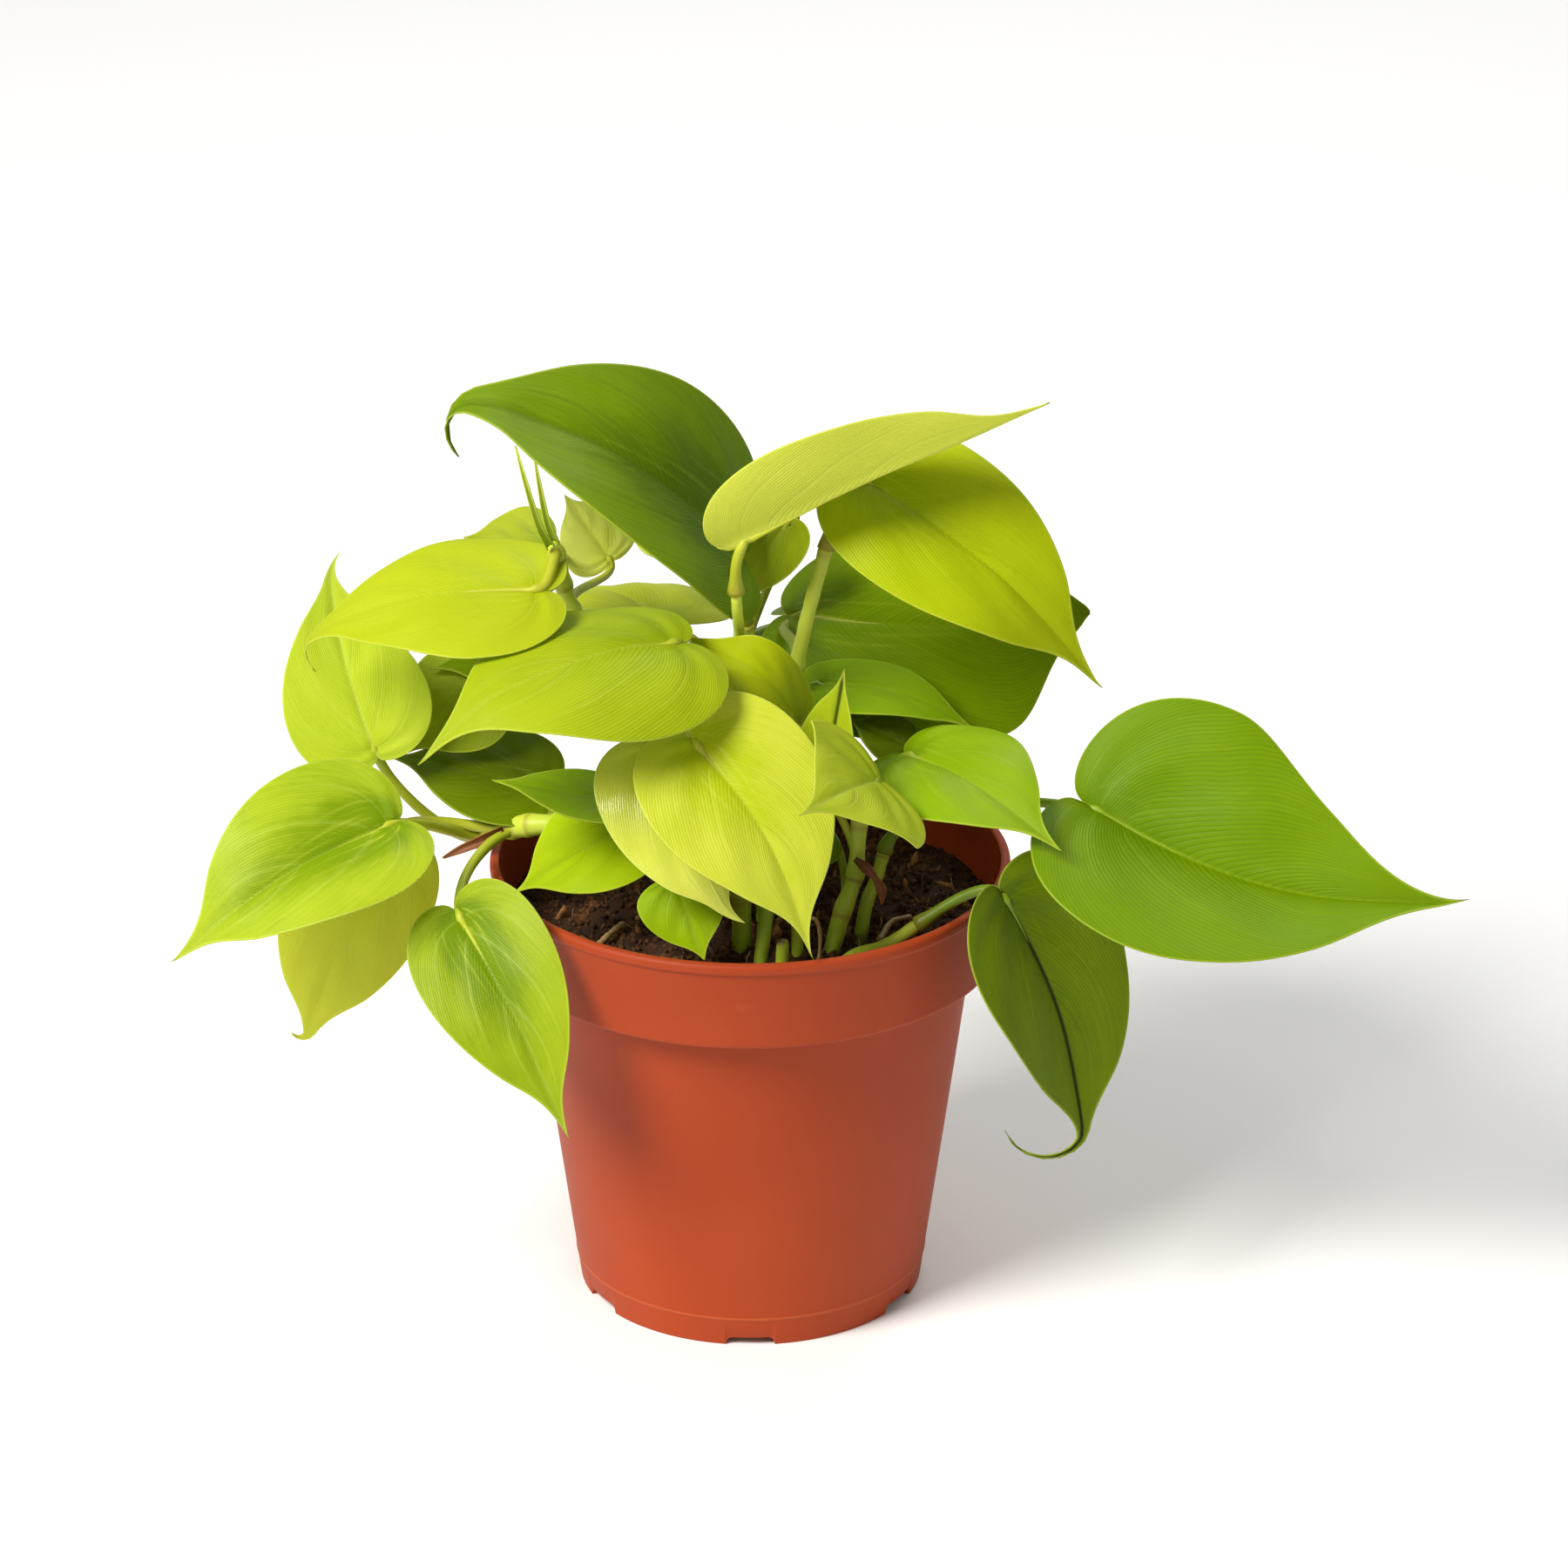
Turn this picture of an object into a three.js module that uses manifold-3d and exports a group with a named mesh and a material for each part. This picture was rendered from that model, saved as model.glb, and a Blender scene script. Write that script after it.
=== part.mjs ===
// Potted heart-leaf philodendron. Millimetres, +Z up, origin under the middle of the pot's foot.
import * as THREE from 'three';
import { mergeVertices } from 'three/addons/utils/BufferGeometryUtils.js';
import Module from 'manifold-3d';

const wasm = await Module();
wasm.setup();

// Pot
const potHeight = 93;
const rimRadius = 52.5;
const collarHeight = 19;
const collarDraft = 1.4;
const collarStep = 5.2;
const baseRadius = 35;
const wall = 1.3;
const beadHeight = 2.4;
const beadReach = 0.7;
const floorRise = 2.2;
const floorThickness = 1.5;
const padRadius = 11;
const footNotches = { count: 6, width: 10, height: 1.6 };
const drainHoles = { count: 6, radius: 3.5, ring: 24 };

// Potting mix
const headspace = 12;
const mixDome = 1.5;

// Plant
const clearance = 0.3;
const rootDepth = 9;
const bladeThickness = 0.8;
const petioleRadius = 1.25;
const tubeSides = 6;
const bladeRows = 8;
const bladeColumns = 4;
const bladeStart = 0.04;
const bladeEnd = 0.985;
const stalkSteps = 6;
const facetAllowance = 1.25;

const soilLevel = potHeight - headspace;
const group = new THREE.Group();

// Solids

function solidOf(geometry) {
  const bare = geometry.index ? geometry.clone() : geometry;
  for (const name of Object.keys(bare.attributes)) {
    if (name !== 'position') bare.deleteAttribute(name);
  }
  const merged = mergeVertices(bare, 1e-4);
  return new wasm.Manifold(new wasm.Mesh({
    numProp: 3,
    vertProperties: new Float32Array(merged.attributes.position.array),
    triVerts: new Uint32Array(merged.index.array),
  }));
}

function geometryOf(solid) {
  const mesh = solid.getMesh();
  const geometry = new THREE.BufferGeometry();
  geometry.setAttribute('position', new THREE.BufferAttribute(mesh.vertProperties, 3));
  geometry.setIndex(new THREE.BufferAttribute(mesh.triVerts, 1));
  geometry.computeVertexNormals();
  return geometry;
}

function addNode(name, solid, color, roughness = 0.5) {
  const material = new THREE.MeshStandardMaterial({ color, roughness, metalness: 0 });
  const mesh = new THREE.Mesh(geometryOf(solid), material);
  mesh.name = name;
  group.add(mesh);
}

function turned(profile, segments) {
  return solidOf(new THREE.LatheGeometry(profile.map(([r, z]) => new THREE.Vector2(r, z)), segments)
    .rotateX(Math.PI / 2));
}

// Places

const vector = ([x, y, z]) => new THREE.Vector3(x, y, z);

// Heights count from the rim; with a bearing in degrees, x and y count from the rim at that bearing.
function crownPoint([x, y, height, bearing]) {
  const point = new THREE.Vector3(x, y, potHeight + height);
  if (bearing === undefined) return point;
  const angle = THREE.MathUtils.degToRad(bearing);
  return point.add(new THREE.Vector3(Math.cos(angle), Math.sin(angle), 0).multiplyScalar(rimRadius));
}

const rootPoint = ([x, y]) => new THREE.Vector3(x, y, soilLevel - rootDepth);

function tube(curve, radius, steps) {
  const section = new THREE.Shape();
  for (let i = 0; i < tubeSides; i++) {
    const angle = 2 * Math.PI * i / tubeSides;
    section[i ? 'lineTo' : 'moveTo'](radius * Math.cos(angle), radius * Math.sin(angle));
  }
  section.closePath();
  return solidOf(new THREE.ExtrudeGeometry(section, { steps, bevelEnabled: false, extrudePath: curve }));
}

// The plant: where it grows

// Each shoot starts in the mix at its root and runs on through its points to its tip.
const shoots = {
  left: { root: [-10, -4], radius: 2.4,
    points: [[-14, -5, -3], [-26, -8, 6], [-38, -8, 10], [5.5, -4, 8, 180], [-1.5, 0, 4, 180]] },
  upper_left: { root: [-10, 8], radius: 1.9,
    points: [[-15, 6, 12], [-26, 2, 37], [-35, -4, 55], [-38.5, -5, 70]] },
  front: { root: [-2, -22], radius: 2,
    points: [[-2, -20, 1], [-8, -16, 19], [-13, -14, 37], [-14, -13, 50]] },
  slender: { root: [-4, -9], radius: 1.3,
    points: [[-1.5, -3, 20], [-1, -0.5, 38], [-1.8, -1, 46], [-2.4, -9, 57], [-2.6, -10.5, 62]] },
  inner: { root: [1, -29], radius: 1.5,
    points: [[3.4, -22, -2], [5, -15, 7], [6, -8, 19], [7, -7, 25]] },
  top: { root: [3, -6], radius: 2,
    points: [[3, 2, 17], [0, 5, 37], [-1, 3, 50]] },
  tall: { root: [10, 2], radius: 1.7,
    points: [[9, 4, 12], [8.5, 5, 32], [11, 4, 48], [15.5, 5, 66]] },
  right: { root: [14, -23], radius: 1.8,
    points: [[18, -20, -5], [21, -16, 3], [22, -14, 14], [25, -11, 21]] },
  low: { root: [21, -17], radius: 1.5,
    points: [[23, -14, -6], [25.5, -10, 0], [27, -8, 5]] },
  trailing: { root: [14, -31], radius: 1.5,
    points: [[19, -29.5, -10], [27, -28, -7], [34, -28, -2]] },
  back: { root: [-2, 16], radius: 2,
    points: [[0, 20, 7], [-2, 26, 22], [-2, 30, 34]] },
};

// Blunt cut ends of older stems, straight up out of the mix.
const stubs = {
  stem_stub_front: { root: [6, -30.5], top: [6.6, -30, -5], radius: 1.3 },
  stem_stub_middle: { root: [9.5, -24], top: [9.5, -23, -1], radius: 1.2 },
};

// A leaf runs from the notch between its lobes to its tip. faces is the way its upper side looks,
// as a turn from the front (towards +X) and a rise above level, in degrees. fold and cup lift the
// left half, foldRight and cupRight the right one; bow, side, hook and sway bend the midrib.
const leaves = [
  { name: 'leaf_top_left', tone: 'dark', shoot: 'top', at: 0.98,
    base: [-2, 17, 59], tip: [-60, 3, 99],
    faces: [10, 50], width: 51, bow: 10, hook: -9, curlFrom: 0.82, fold: 28, foldRight: 0, cup: -10 },
  { name: 'leaf_top_folded', tone: 'lime', shoot: 'slender', at: 0.98,
    base: [-3, -13, 72.5], tip: [57, -10, 100.5],
    faces: [180, 60], width: 32, bow: 1, fold: 35, cup: 15 },
  { name: 'leaf_top_right', tone: 'lime', shoot: 'tall', at: 0.98,
    base: [21, 8, 79], tip: [69, -5, 40],
    faces: [20, 40], width: 35, bow: 8, fold: 15, foldRight: 5, cup: -15, taper: 0.1 },
  { name: 'leaf_upper_right_shaded', tone: 'dark', shoot: 'tall', at: 0.62,
    base: [8, 33, 39], tip: [67.5, 30, 40.5],
    faces: [0, 75], width: 56, side: 4, cup: -10, taper: 0.75, full: 0.75, twist: 50 },
  { name: 'leaf_right_edge_on', tone: 'mid', shoot: 'tall', at: 0.45,
    base: [12, 9, 33.6], tip: [46, 6, 24.1],
    faces: [0, 80], width: 20, bow: 4, taper: 0.1 },
  { name: 'leaf_right_inner', tone: 'mid', shoot: 'right', at: 0.97,
    base: [31, -5, 24.5], tip: [60.5, -37, 18.2],
    faces: [10, 50], width: 32, bow: 4, cup: -30, foldRight: 22, fold: 5, taper: 0.1 },
  { name: 'leaf_far_right', tone: 'mid', shoot: 'low', at: 0.95,
    base: [14, -8.7, 19], tip: [90, -28.7, 6], bearing: -8,
    faces: [0, 30], width: 61, side: 7, cup: -11, fold: 6, foldRight: 47, taper: 0.05, full: 0.5 },
  { name: 'leaf_hanging_right', tone: 'mid', shoot: 'trailing', at: 0.97,
    base: [3.1, -6.4, 6.5], tip: [20.6, -11.4, -51], bearing: -28,
    faces: [28, 5], width: 39, side: -4, foldRight: 30, fold: 0, sway: 8, curlFrom: 0.9, taper: 0.1 },
  { name: 'leaf_front_facing', tone: 'lime', shoot: 'right', at: 0.75,
    base: [25.5, -30, 29.6], tip: [10, -56.3, 34],
    faces: [68, 53], width: 33, bow: 2, fold: 0, foldRight: 5, lobe: 0.16, taper: 0, full: 0.3,
    stalk: [0, 0.4] },
  { name: 'leaf_unrolling', tone: 'lime', shoot: 'right', at: 0.5,
    base: [15, -16, 21], tip: [18.5, -14, 46],
    faces: [-50, 10], width: 15, fold: 30, foldRight: 5 },
  { name: 'leaf_centre_arched', tone: 'lime', shoot: 'inner', at: 0.97,
    base: [10, -9, 31], tip: [-11, -10, 51],
    faces: [50, 20], width: 16, bow: 7, taper: 0.9 },
  { name: 'leaf_front_centre', tone: 'lime', shoot: 'front', at: 0.8,
    base: [-11, -32, 39], tip: [12, -51, 2],
    faces: [5, 30], width: 36, bow: 4, side: -3, foldRight: 15, fold: 0, cup: -10, taper: 0.02 },
  { name: 'leaf_front_left_glossy', tone: 'lime', shoot: 'front', at: 0.55,
    base: [-20, -24, 35], tip: [-3, -40, 3],
    faces: [-15, 25], width: 28, bow: 3, fold: -45, foldRight: 15 },
  { name: 'leaf_mid_left', tone: 'lime', shoot: 'front', at: 0.98,
    base: [-13, -20, 55], tip: [-63, -46, 44.5],
    faces: [-5, 72], width: 44, bow: 6, cup: -35, cupRight: -25, hook: -4, taper: 0.1 },
  { name: 'leaf_upper_left', tone: 'lime', shoot: 'upper_left', at: 0.95,
    base: [-39.8, -14, 63.7], tip: [-92, -10, 50.4],
    faces: [0, 70], width: 37, bow: 5, cup: -5, cupRight: -15, hook: -4, taper: 0.05, full: 0.5,
    lobe: 0.12 },
  { name: 'leaf_left_upright', tone: 'lime', shoot: 'left', at: 0.99,
    base: [-22, -1, 22], tip: [-31.5, 8, 62.5], bearing: 180,
    faces: [0, 15], width: 30, fold: 8, bow: -2, side: -2, full: 0.55, taper: 0, lobe: 0.07 },
  { name: 'leaf_far_left', tone: 'lime', shoot: 'left', at: 0.93,
    base: [-17.5, -17, 15], tip: [-60.5, -34, -7], bearing: 180,
    faces: [-15, 45], width: 38, bow: 6, fold: 25, foldRight: 15, cup: -10, taper: 0.15 },
  { name: 'leaf_hanging_left', tone: 'lime', shoot: 'left', at: 0.82,
    base: [-20.5, -8, 8], tip: [-37.5, -12, -37], bearing: 180,
    faces: [10, 25], width: 30, side: 1, bow: 4 },
  { name: 'leaf_hanging_front', tone: 'lime', shoot: 'left', at: 0.74,
    base: [-17.8, 3.7, 1.5], tip: [4.2, -20.3, -35.5], bearing: 220,
    faces: [-15, 25], width: 29, bow: 4, side: -2, fold: 5, foldRight: 20, taper: 0.1 },
  { name: 'leaf_left_inner', tone: 'mid', shoot: 'left', at: 0.6,
    base: [-40, 3, 14], tip: [-72, 8, 18],
    faces: [0, 60], width: 24 },
  { name: 'leaf_left_olive', tone: 'mid', shoot: 'upper_left', at: 0.5,
    base: [-54, 13, 33], tip: [-69, 6, 20],
    faces: [0, 50], width: 24 },
  { name: 'leaf_left_shaded', tone: 'dark', shoot: 'upper_left', at: 0.6,
    base: [-38, 16, 40], tip: [-64, 14, 35],
    faces: [0, 50], width: 16 },
  { name: 'leaf_upper_left_back', tone: 'mid', shoot: 'upper_left', at: 0.85,
    base: [-40, 20, 59], tip: [-57, 20, 61],
    faces: [0, 75], width: 24 },
  { name: 'leaf_small_pale', tone: 'lime', shoot: 'upper_left', at: 0.75,
    base: [-28, 20, 56], tip: [-37, 22, 69],
    faces: [0, 40], width: 16 },
  { name: 'leaf_low_left', tone: 'mid', shoot: 'front', at: 0.35,
    base: [-24, -22, 21.5], tip: [-50, -24, 27],
    faces: [0, 75], width: 16 },
  { name: 'leaf_low_left_rim', tone: 'mid', shoot: 'left', at: 0.3,
    base: [-22, -12, 14], tip: [-47, -22, 1.5],
    faces: [-10, 50], width: 24, taper: 0.02 },
  { name: 'leaf_low_front', tone: 'mid', shoot: 'front', at: 0.25,
    base: [-15, -28, 8], tip: [-9, -36, -6],
    faces: [0, 30], width: 18 },
  { name: 'leaf_low_shaded', tone: 'dark', shoot: 'right', at: 0.3,
    base: [15, -9, 9], tip: [10, -14, 4],
    faces: [0, 30], width: 11 },
  { name: 'leaf_top_back', tone: 'mid', shoot: 'back', at: 0.8,
    base: [8, 28, 61.5], tip: [-5, 24, 44.5],
    faces: [0, 30], width: 14 },
  { name: 'leaf_small_right', tone: 'mid', shoot: 'right', at: 0.9,
    base: [32, 2, 23], tip: [20, 4, 28],
    faces: [0, 60], width: 12 },
  { name: 'leaf_back_right', tone: 'mid', shoot: 'back', at: 0.9,
    base: [14, 48, 33], tip: [54, 80, 15],
    faces: [150, 55], width: 42, bow: 6, cup: -15 },
  { name: 'leaf_back_left', tone: 'lime', shoot: 'back', at: 0.7,
    base: [-16, 36, 36], tip: [-48, 74, 22],
    faces: [210, 55], width: 42, bow: 6, cup: -15 },
  { name: 'leaf_back_high', tone: 'lime', shoot: 'back', at: 0.97,
    base: [-8, 43, 55], tip: [-16, 73, 77],
    faces: [190, -10], width: 34, bow: 4, fold: 10 },
  { name: 'leaf_back_low', tone: 'mid', shoot: 'back', at: 0.45,
    base: [-2, -8.5, 18], tip: [4, 19.5, -14], bearing: 90,
    faces: [175, 30], width: 34, bow: 5, cup: -10 },
];

// Young pointed sheaths and dried brown ones, each on its shoot, and roots from a stub or on the mix.
const sheaths = {
  sheath_point_left: { shoot: 'upper_left', radius: 0.9, color: 0x8c9e38,
    points: [[-39.3, -6.5, 70], [-42, -10, 80], [-45.5, -12, 93]] },
  sheath_point_right: { shoot: 'upper_left', radius: 1, color: 0x9aa83e,
    points: [[-38.2, -4, 69.5], [-40.2, -4.5, 78], [-42, -6, 88]] },
  dried_sheath_left: { shoot: 'left', radius: 0.8, color: 0x5a3218,
    points: [[3, -6, 8.5], [-3, -8, 5.5], [-9, -8, 3]], bearing: 180 },
  dried_sheath_right: { shoot: 'right', radius: 0.7, color: 0x6e3a1c,
    points: [[21, -17.5, 7.5], [24.9, -20.5, 4.5], [26.3, -22, -0.9]] },
};
const roots = {
  root_aerial: { radius: 0.6, points: [[10, -25, -4], [12.9, -26.4, -2], [14, -26.8, -6], [13.4, -27, -15]] },
  root_surface_left: { radius: 0.7, points: [[-25.5, -12, -10], [-28, -17, -9.9], [-31, -22.5, -10.6]] },
  root_surface_right: { radius: 0.7, points: [[25.9, -18, -10.6], [28.4, -11, -9.9], [32.3, -7, -10.4]] },
};

// The plant: how it grows

function bezier(t, a, b, c, d) {
  const s = 1 - t;
  return s * s * s * a + 3 * s * s * t * b + 3 * s * t * t * c + t * t * t * d;
}

// Half of a heart-shaped outline: along is 0 at the notch and 1 at the tip, in leaf lengths,
// across is in half widths.
const lobeShare = 0.45;
const widest = 0.25;
function marginPoint(u, { lobe = 0.1, taper = 0.22, full = 0.62 }) {
  if (u < lobeShare) {
    const t = u / lobeShare;
    return { along: bezier(t, 0, -lobe, -lobe, widest), across: bezier(t, 0, 0.05, 1, 1) };
  }
  const t = (u - lobeShare) / (1 - lobeShare);
  return { along: bezier(t, widest, full, 0.82, 1), across: bezier(t, 1, 1, taper, 0) };
}

// Where on the midrib the vein to that margin point leaves.
const notchShare = 0.12;
function veinFoot(u) {
  if (u < lobeShare) return notchShare * (u / lobeShare) ** 1.5;
  return notchShare + (1 - notchShare) * (u - lobeShare) / (1 - lobeShare);
}

function facing([turn, rise]) {
  const a = THREE.MathUtils.degToRad(turn);
  const e = THREE.MathUtils.degToRad(rise);
  return new THREE.Vector3(Math.sin(a) * Math.cos(e), -Math.cos(a) * Math.cos(e), Math.sin(e));
}

class Blade {
  constructor(leaf) {
    this.leaf = leaf;
    const place = ([x, y, height]) => crownPoint([x, y, height, leaf.bearing]);
    this.base = place(leaf.base);
    this.chord = place(leaf.tip).sub(this.base);
    const along = this.chord.clone().normalize();
    this.up = facing(leaf.faces);
    this.up.addScaledVector(along, -this.up.dot(along)).normalize();
    this.right = along.clone().cross(this.up);
  }

  midrib(along) {
    const { bow = 0, side = 0, hook = 0, sway = 0, curlFrom = 0.7 } = this.leaf;
    const arch = along < 0 ? Math.PI * along : Math.sin(Math.PI * along);
    const curl = Math.max(0, (along - curlFrom) / (1 - curlFrom)) ** 2;
    return this.base.clone().addScaledVector(this.chord, along)
      .addScaledVector(this.up, bow * arch + hook * curl)
      .addScaledVector(this.right, side * arch + sway * curl);
  }

  // A point of the blade and the way its upper side looks there.
  surface(along, across) {
    const { width, fold = 0, cup = 0, twist = 0 } = this.leaf;
    const { foldRight = fold, cupRight = cup } = this.leaf;
    const step = 1e-3;
    const ahead = this.midrib(along + step).sub(this.midrib(along - step)).normalize();
    const turn = THREE.MathUtils.degToRad(twist) * along;
    const up = this.up.clone().multiplyScalar(Math.cos(turn)).addScaledVector(this.right, Math.sin(turn));
    up.addScaledVector(ahead, -up.dot(ahead)).normalize();
    const right = ahead.clone().cross(up);
    const side = Math.sign(across);
    const reach = Math.abs(across) * width / 2;
    const rise = THREE.MathUtils.degToRad(side > 0 ? foldRight : fold);
    const bend = THREE.MathUtils.degToRad(side > 0 ? cupRight : cup) / (width / 2) || 1e-6;
    const slope = rise + bend * reach;
    const point = this.midrib(along)
      .addScaledVector(right, side * (Math.sin(slope) - Math.sin(rise)) / bend)
      .addScaledVector(up, (Math.cos(rise) - Math.cos(slope)) / bend);
    const normal = up.multiplyScalar(side ? Math.cos(slope) : 1)
      .addScaledVector(right, side ? -side * Math.sin(slope) : 0);
    return { point, normal };
  }

  solid() {
    const box = new THREE.BoxGeometry(1, 2, 1, bladeRows, bladeColumns, 1);
    const position = box.attributes.position;
    for (let i = 0; i < position.count; i++) {
      const u = bladeStart + (bladeEnd - bladeStart) * (position.getX(i) + 0.5);
      const v = -position.getY(i);
      const margin = marginPoint(u, this.leaf);
      const foot = veinFoot(u);
      const along = foot + (margin.along - foot) * Math.abs(v);
      const { point, normal } = this.surface(along, margin.across * v);
      point.addScaledVector(normal, position.getZ(i) * bladeThickness);
      position.setXYZ(i, point.x, point.y, point.z);
    }
    return solidOf(box);
  }

  // Leaf stalk from its shoot, arriving from behind and below the notch, in shares of its length.
  stalk(shoot) {
    const [behind, below] = this.leaf.stalk ?? [0.3, 0.2];
    const start = shoot.curve.getPoint(this.leaf.at);
    const end = this.midrib(bladeStart);
    const length = end.distanceTo(start);
    const back = this.chord.clone().normalize().multiplyScalar(-behind).addScaledVector(this.up, -below);
    const leave = shoot.curve.getTangent(this.leaf.at).multiplyScalar(0.3 * length).add(start);
    return new THREE.CubicBezierCurve3(start, leave, back.multiplyScalar(length).add(end), end);
  }
}

function throughPoints(points) {
  return new THREE.CatmullRomCurve3(points, false, 'catmullrom', 0.5);
}

// The room that a tube needs, past both of its ends too, with an allowance for its flat sides.
function roomFor(curve, radius, steps) {
  const points = curve.getPoints(steps);
  const ends = [points[0], points[steps]];
  points.unshift(ends[0].clone().addScaledVector(curve.getTangent(0), -clearance));
  points.push(ends[1].clone().addScaledVector(curve.getTangent(1), clearance));
  return tube(throughPoints(points), radius + clearance * facetAllowance, steps + 2);
}

function growShoots(taken) {
  for (const [name, { root, points, radius }] of Object.entries(shoots)) {
    const curve = throughPoints([rootPoint(root), ...points.map(crownPoint)]);
    const steps = points.length * 3;
    addNode(`shoot_${name}`, tube(curve, radius, steps), 0x6f8f2c, 0.45);
    const room = roomFor(curve, radius, steps);
    shoots[name] = { curve, rooms: [room] };
    taken.push(room);
  }
}

function growStubs(taken) {
  for (const [name, { root, top, radius }] of Object.entries(stubs)) {
    const curve = new THREE.LineCurve3(rootPoint(root), crownPoint(top));
    addNode(name, tube(curve, radius, 1), 0x7a9434, 0.5);
    taken.push(roomFor(curve, radius, 1));
  }
}

const leafColor = { dark: 0x4f7a14, mid: 0x8fb01e, lime: 0xc3d22f };

function growLeaves() {
  for (const leaf of leaves) {
    const blade = new Blade(leaf);
    const shoot = shoots[leaf.shoot];
    const stalk = blade.stalk(shoot);
    let solid = tube(stalk, petioleRadius, stalkSteps).add(blade.solid());
    for (const room of shoot.rooms) solid = solid.subtract(room);
    shoot.rooms.push(roomFor(stalk, petioleRadius, stalkSteps));
    addNode(leaf.name, solid, leafColor[leaf.tone], 0.4);
  }
}

function growSheaths() {
  for (const [name, { shoot, points, bearing, radius, color }] of Object.entries(sheaths)) {
    const curve = throughPoints(points.map((point) => crownPoint([...point, bearing])));
    let solid = tube(curve, radius, stalkSteps);
    for (const room of shoots[shoot].rooms) solid = solid.subtract(room);
    addNode(name, solid, color, 0.6);
  }
}

function growRoots(taken) {
  for (const [name, { points, radius }] of Object.entries(roots)) {
    const curve = throughPoints(points.map(crownPoint));
    addNode(name, tube(curve, radius, stalkSteps), 0xa88a5c, 0.8);
    taken.push(roomFor(curve, radius, stalkSteps));
  }
}

// The pot and its mix

const collarFoot = potHeight - collarHeight;
const collarTop = potHeight - beadHeight;
const collarRadius = rimRadius - beadReach;
const collarFootRadius = collarRadius - collarDraft;
const bodyRadius = collarFootRadius - collarStep;

function potProfile() {
  const bead = beadHeight / 4;
  return [
    [0, 0], [padRadius, 0], [padRadius + floorRise, floorRise],
    [baseRadius - wall - 1, floorRise], [baseRadius - wall, 0], [baseRadius - 0.4, 0], [baseRadius, 0.4],
    [bodyRadius, collarFoot], [collarFootRadius, collarFoot],
    [collarRadius, collarTop], [rimRadius - bead, collarTop], [rimRadius, collarTop + bead],
    [rimRadius, potHeight - bead], [rimRadius - bead, potHeight],
    [collarRadius - wall + bead / 2, potHeight], [collarRadius - wall, potHeight - bead],
    [collarFootRadius - wall, collarFoot + wall], [bodyRadius - wall, collarFoot + wall],
    [baseRadius - wall + 0.3, floorRise + floorThickness + 2],
    [baseRadius - wall - 1.7, floorRise + floorThickness], [0, floorRise + floorThickness],
    [0, 0],
  ];
}

function drilledPot() {
  let pot = turned(potProfile(), 48);
  for (let i = 0; i < footNotches.count; i++) {
    const notch = new THREE.BoxGeometry(8, footNotches.width, 2 * footNotches.height)
      .translate(baseRadius, 0, 0).rotateZ(2 * Math.PI * i / footNotches.count - Math.PI / 2);
    pot = pot.subtract(solidOf(notch));
  }
  for (let i = 0; i < drainHoles.count; i++) {
    const hole = new THREE.CylinderGeometry(drainHoles.radius, drainHoles.radius, 20, 16)
      .rotateX(Math.PI / 2).translate(drainHoles.ring, 0, 0)
      .rotateZ(2 * Math.PI * (i + 0.5) / drainHoles.count - Math.PI / 2);
    pot = pot.subtract(solidOf(hole));
  }
  return pot;
}

// The mix fills the pot to below the rim, a small gap inside its wall.
function mixProfile() {
  const floor = floorRise + floorThickness + clearance;
  const ledge = collarFoot + wall + clearance;
  const inset = wall + 2 * clearance;
  const slope = (collarRadius - collarFootRadius) / (collarTop - collarFoot);
  const topRadius = collarFootRadius - inset + slope * (soilLevel - collarFoot);
  return [
    [0, floor], [baseRadius - inset - 2.4, floor], [baseRadius - inset - 0.3, floor + 2.6],
    [bodyRadius - inset, ledge], [collarFootRadius - inset, ledge],
    [topRadius, soilLevel - 1], [topRadius - 2, soilLevel],
    [topRadius * 0.5, soilLevel + mixDome], [0, soilLevel + mixDome], [0, floor],
  ];
}

const taken = [];
growShoots(taken);
growStubs(taken);
growLeaves();
growSheaths();
growRoots(taken);
addNode('pot', drilledPot(), 0xb4552f, 0.6);
let mix = turned(mixProfile(), 32);
for (const room of taken) mix = mix.subtract(room);
addNode('potting_mix', mix, 0x2b1c12, 1);

export default group;
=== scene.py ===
import math
import random

import bmesh
import bpy
import numpy as np
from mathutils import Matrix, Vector, noise


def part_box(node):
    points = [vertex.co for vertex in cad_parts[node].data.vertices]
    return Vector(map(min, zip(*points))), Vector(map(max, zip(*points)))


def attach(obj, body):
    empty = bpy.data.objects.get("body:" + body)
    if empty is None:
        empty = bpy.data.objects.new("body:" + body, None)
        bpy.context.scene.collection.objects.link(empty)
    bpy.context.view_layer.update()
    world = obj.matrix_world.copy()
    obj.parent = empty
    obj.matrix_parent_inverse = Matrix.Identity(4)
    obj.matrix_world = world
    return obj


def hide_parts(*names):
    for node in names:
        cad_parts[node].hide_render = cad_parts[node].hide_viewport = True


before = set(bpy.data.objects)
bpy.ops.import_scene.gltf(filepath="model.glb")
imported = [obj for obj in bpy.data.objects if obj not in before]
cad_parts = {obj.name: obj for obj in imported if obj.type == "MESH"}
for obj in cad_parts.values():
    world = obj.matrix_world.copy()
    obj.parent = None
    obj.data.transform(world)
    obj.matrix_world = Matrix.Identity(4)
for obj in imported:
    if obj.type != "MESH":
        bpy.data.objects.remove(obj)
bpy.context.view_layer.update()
mm = 0.001  # shapes are written in mm and made in metres
potLow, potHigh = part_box("pot")
potTop = potHigh.z / mm
rimRadius = (potHigh.x - potLow.x) / 2 / mm
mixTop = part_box("potting_mix")[1].z / mm


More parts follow.
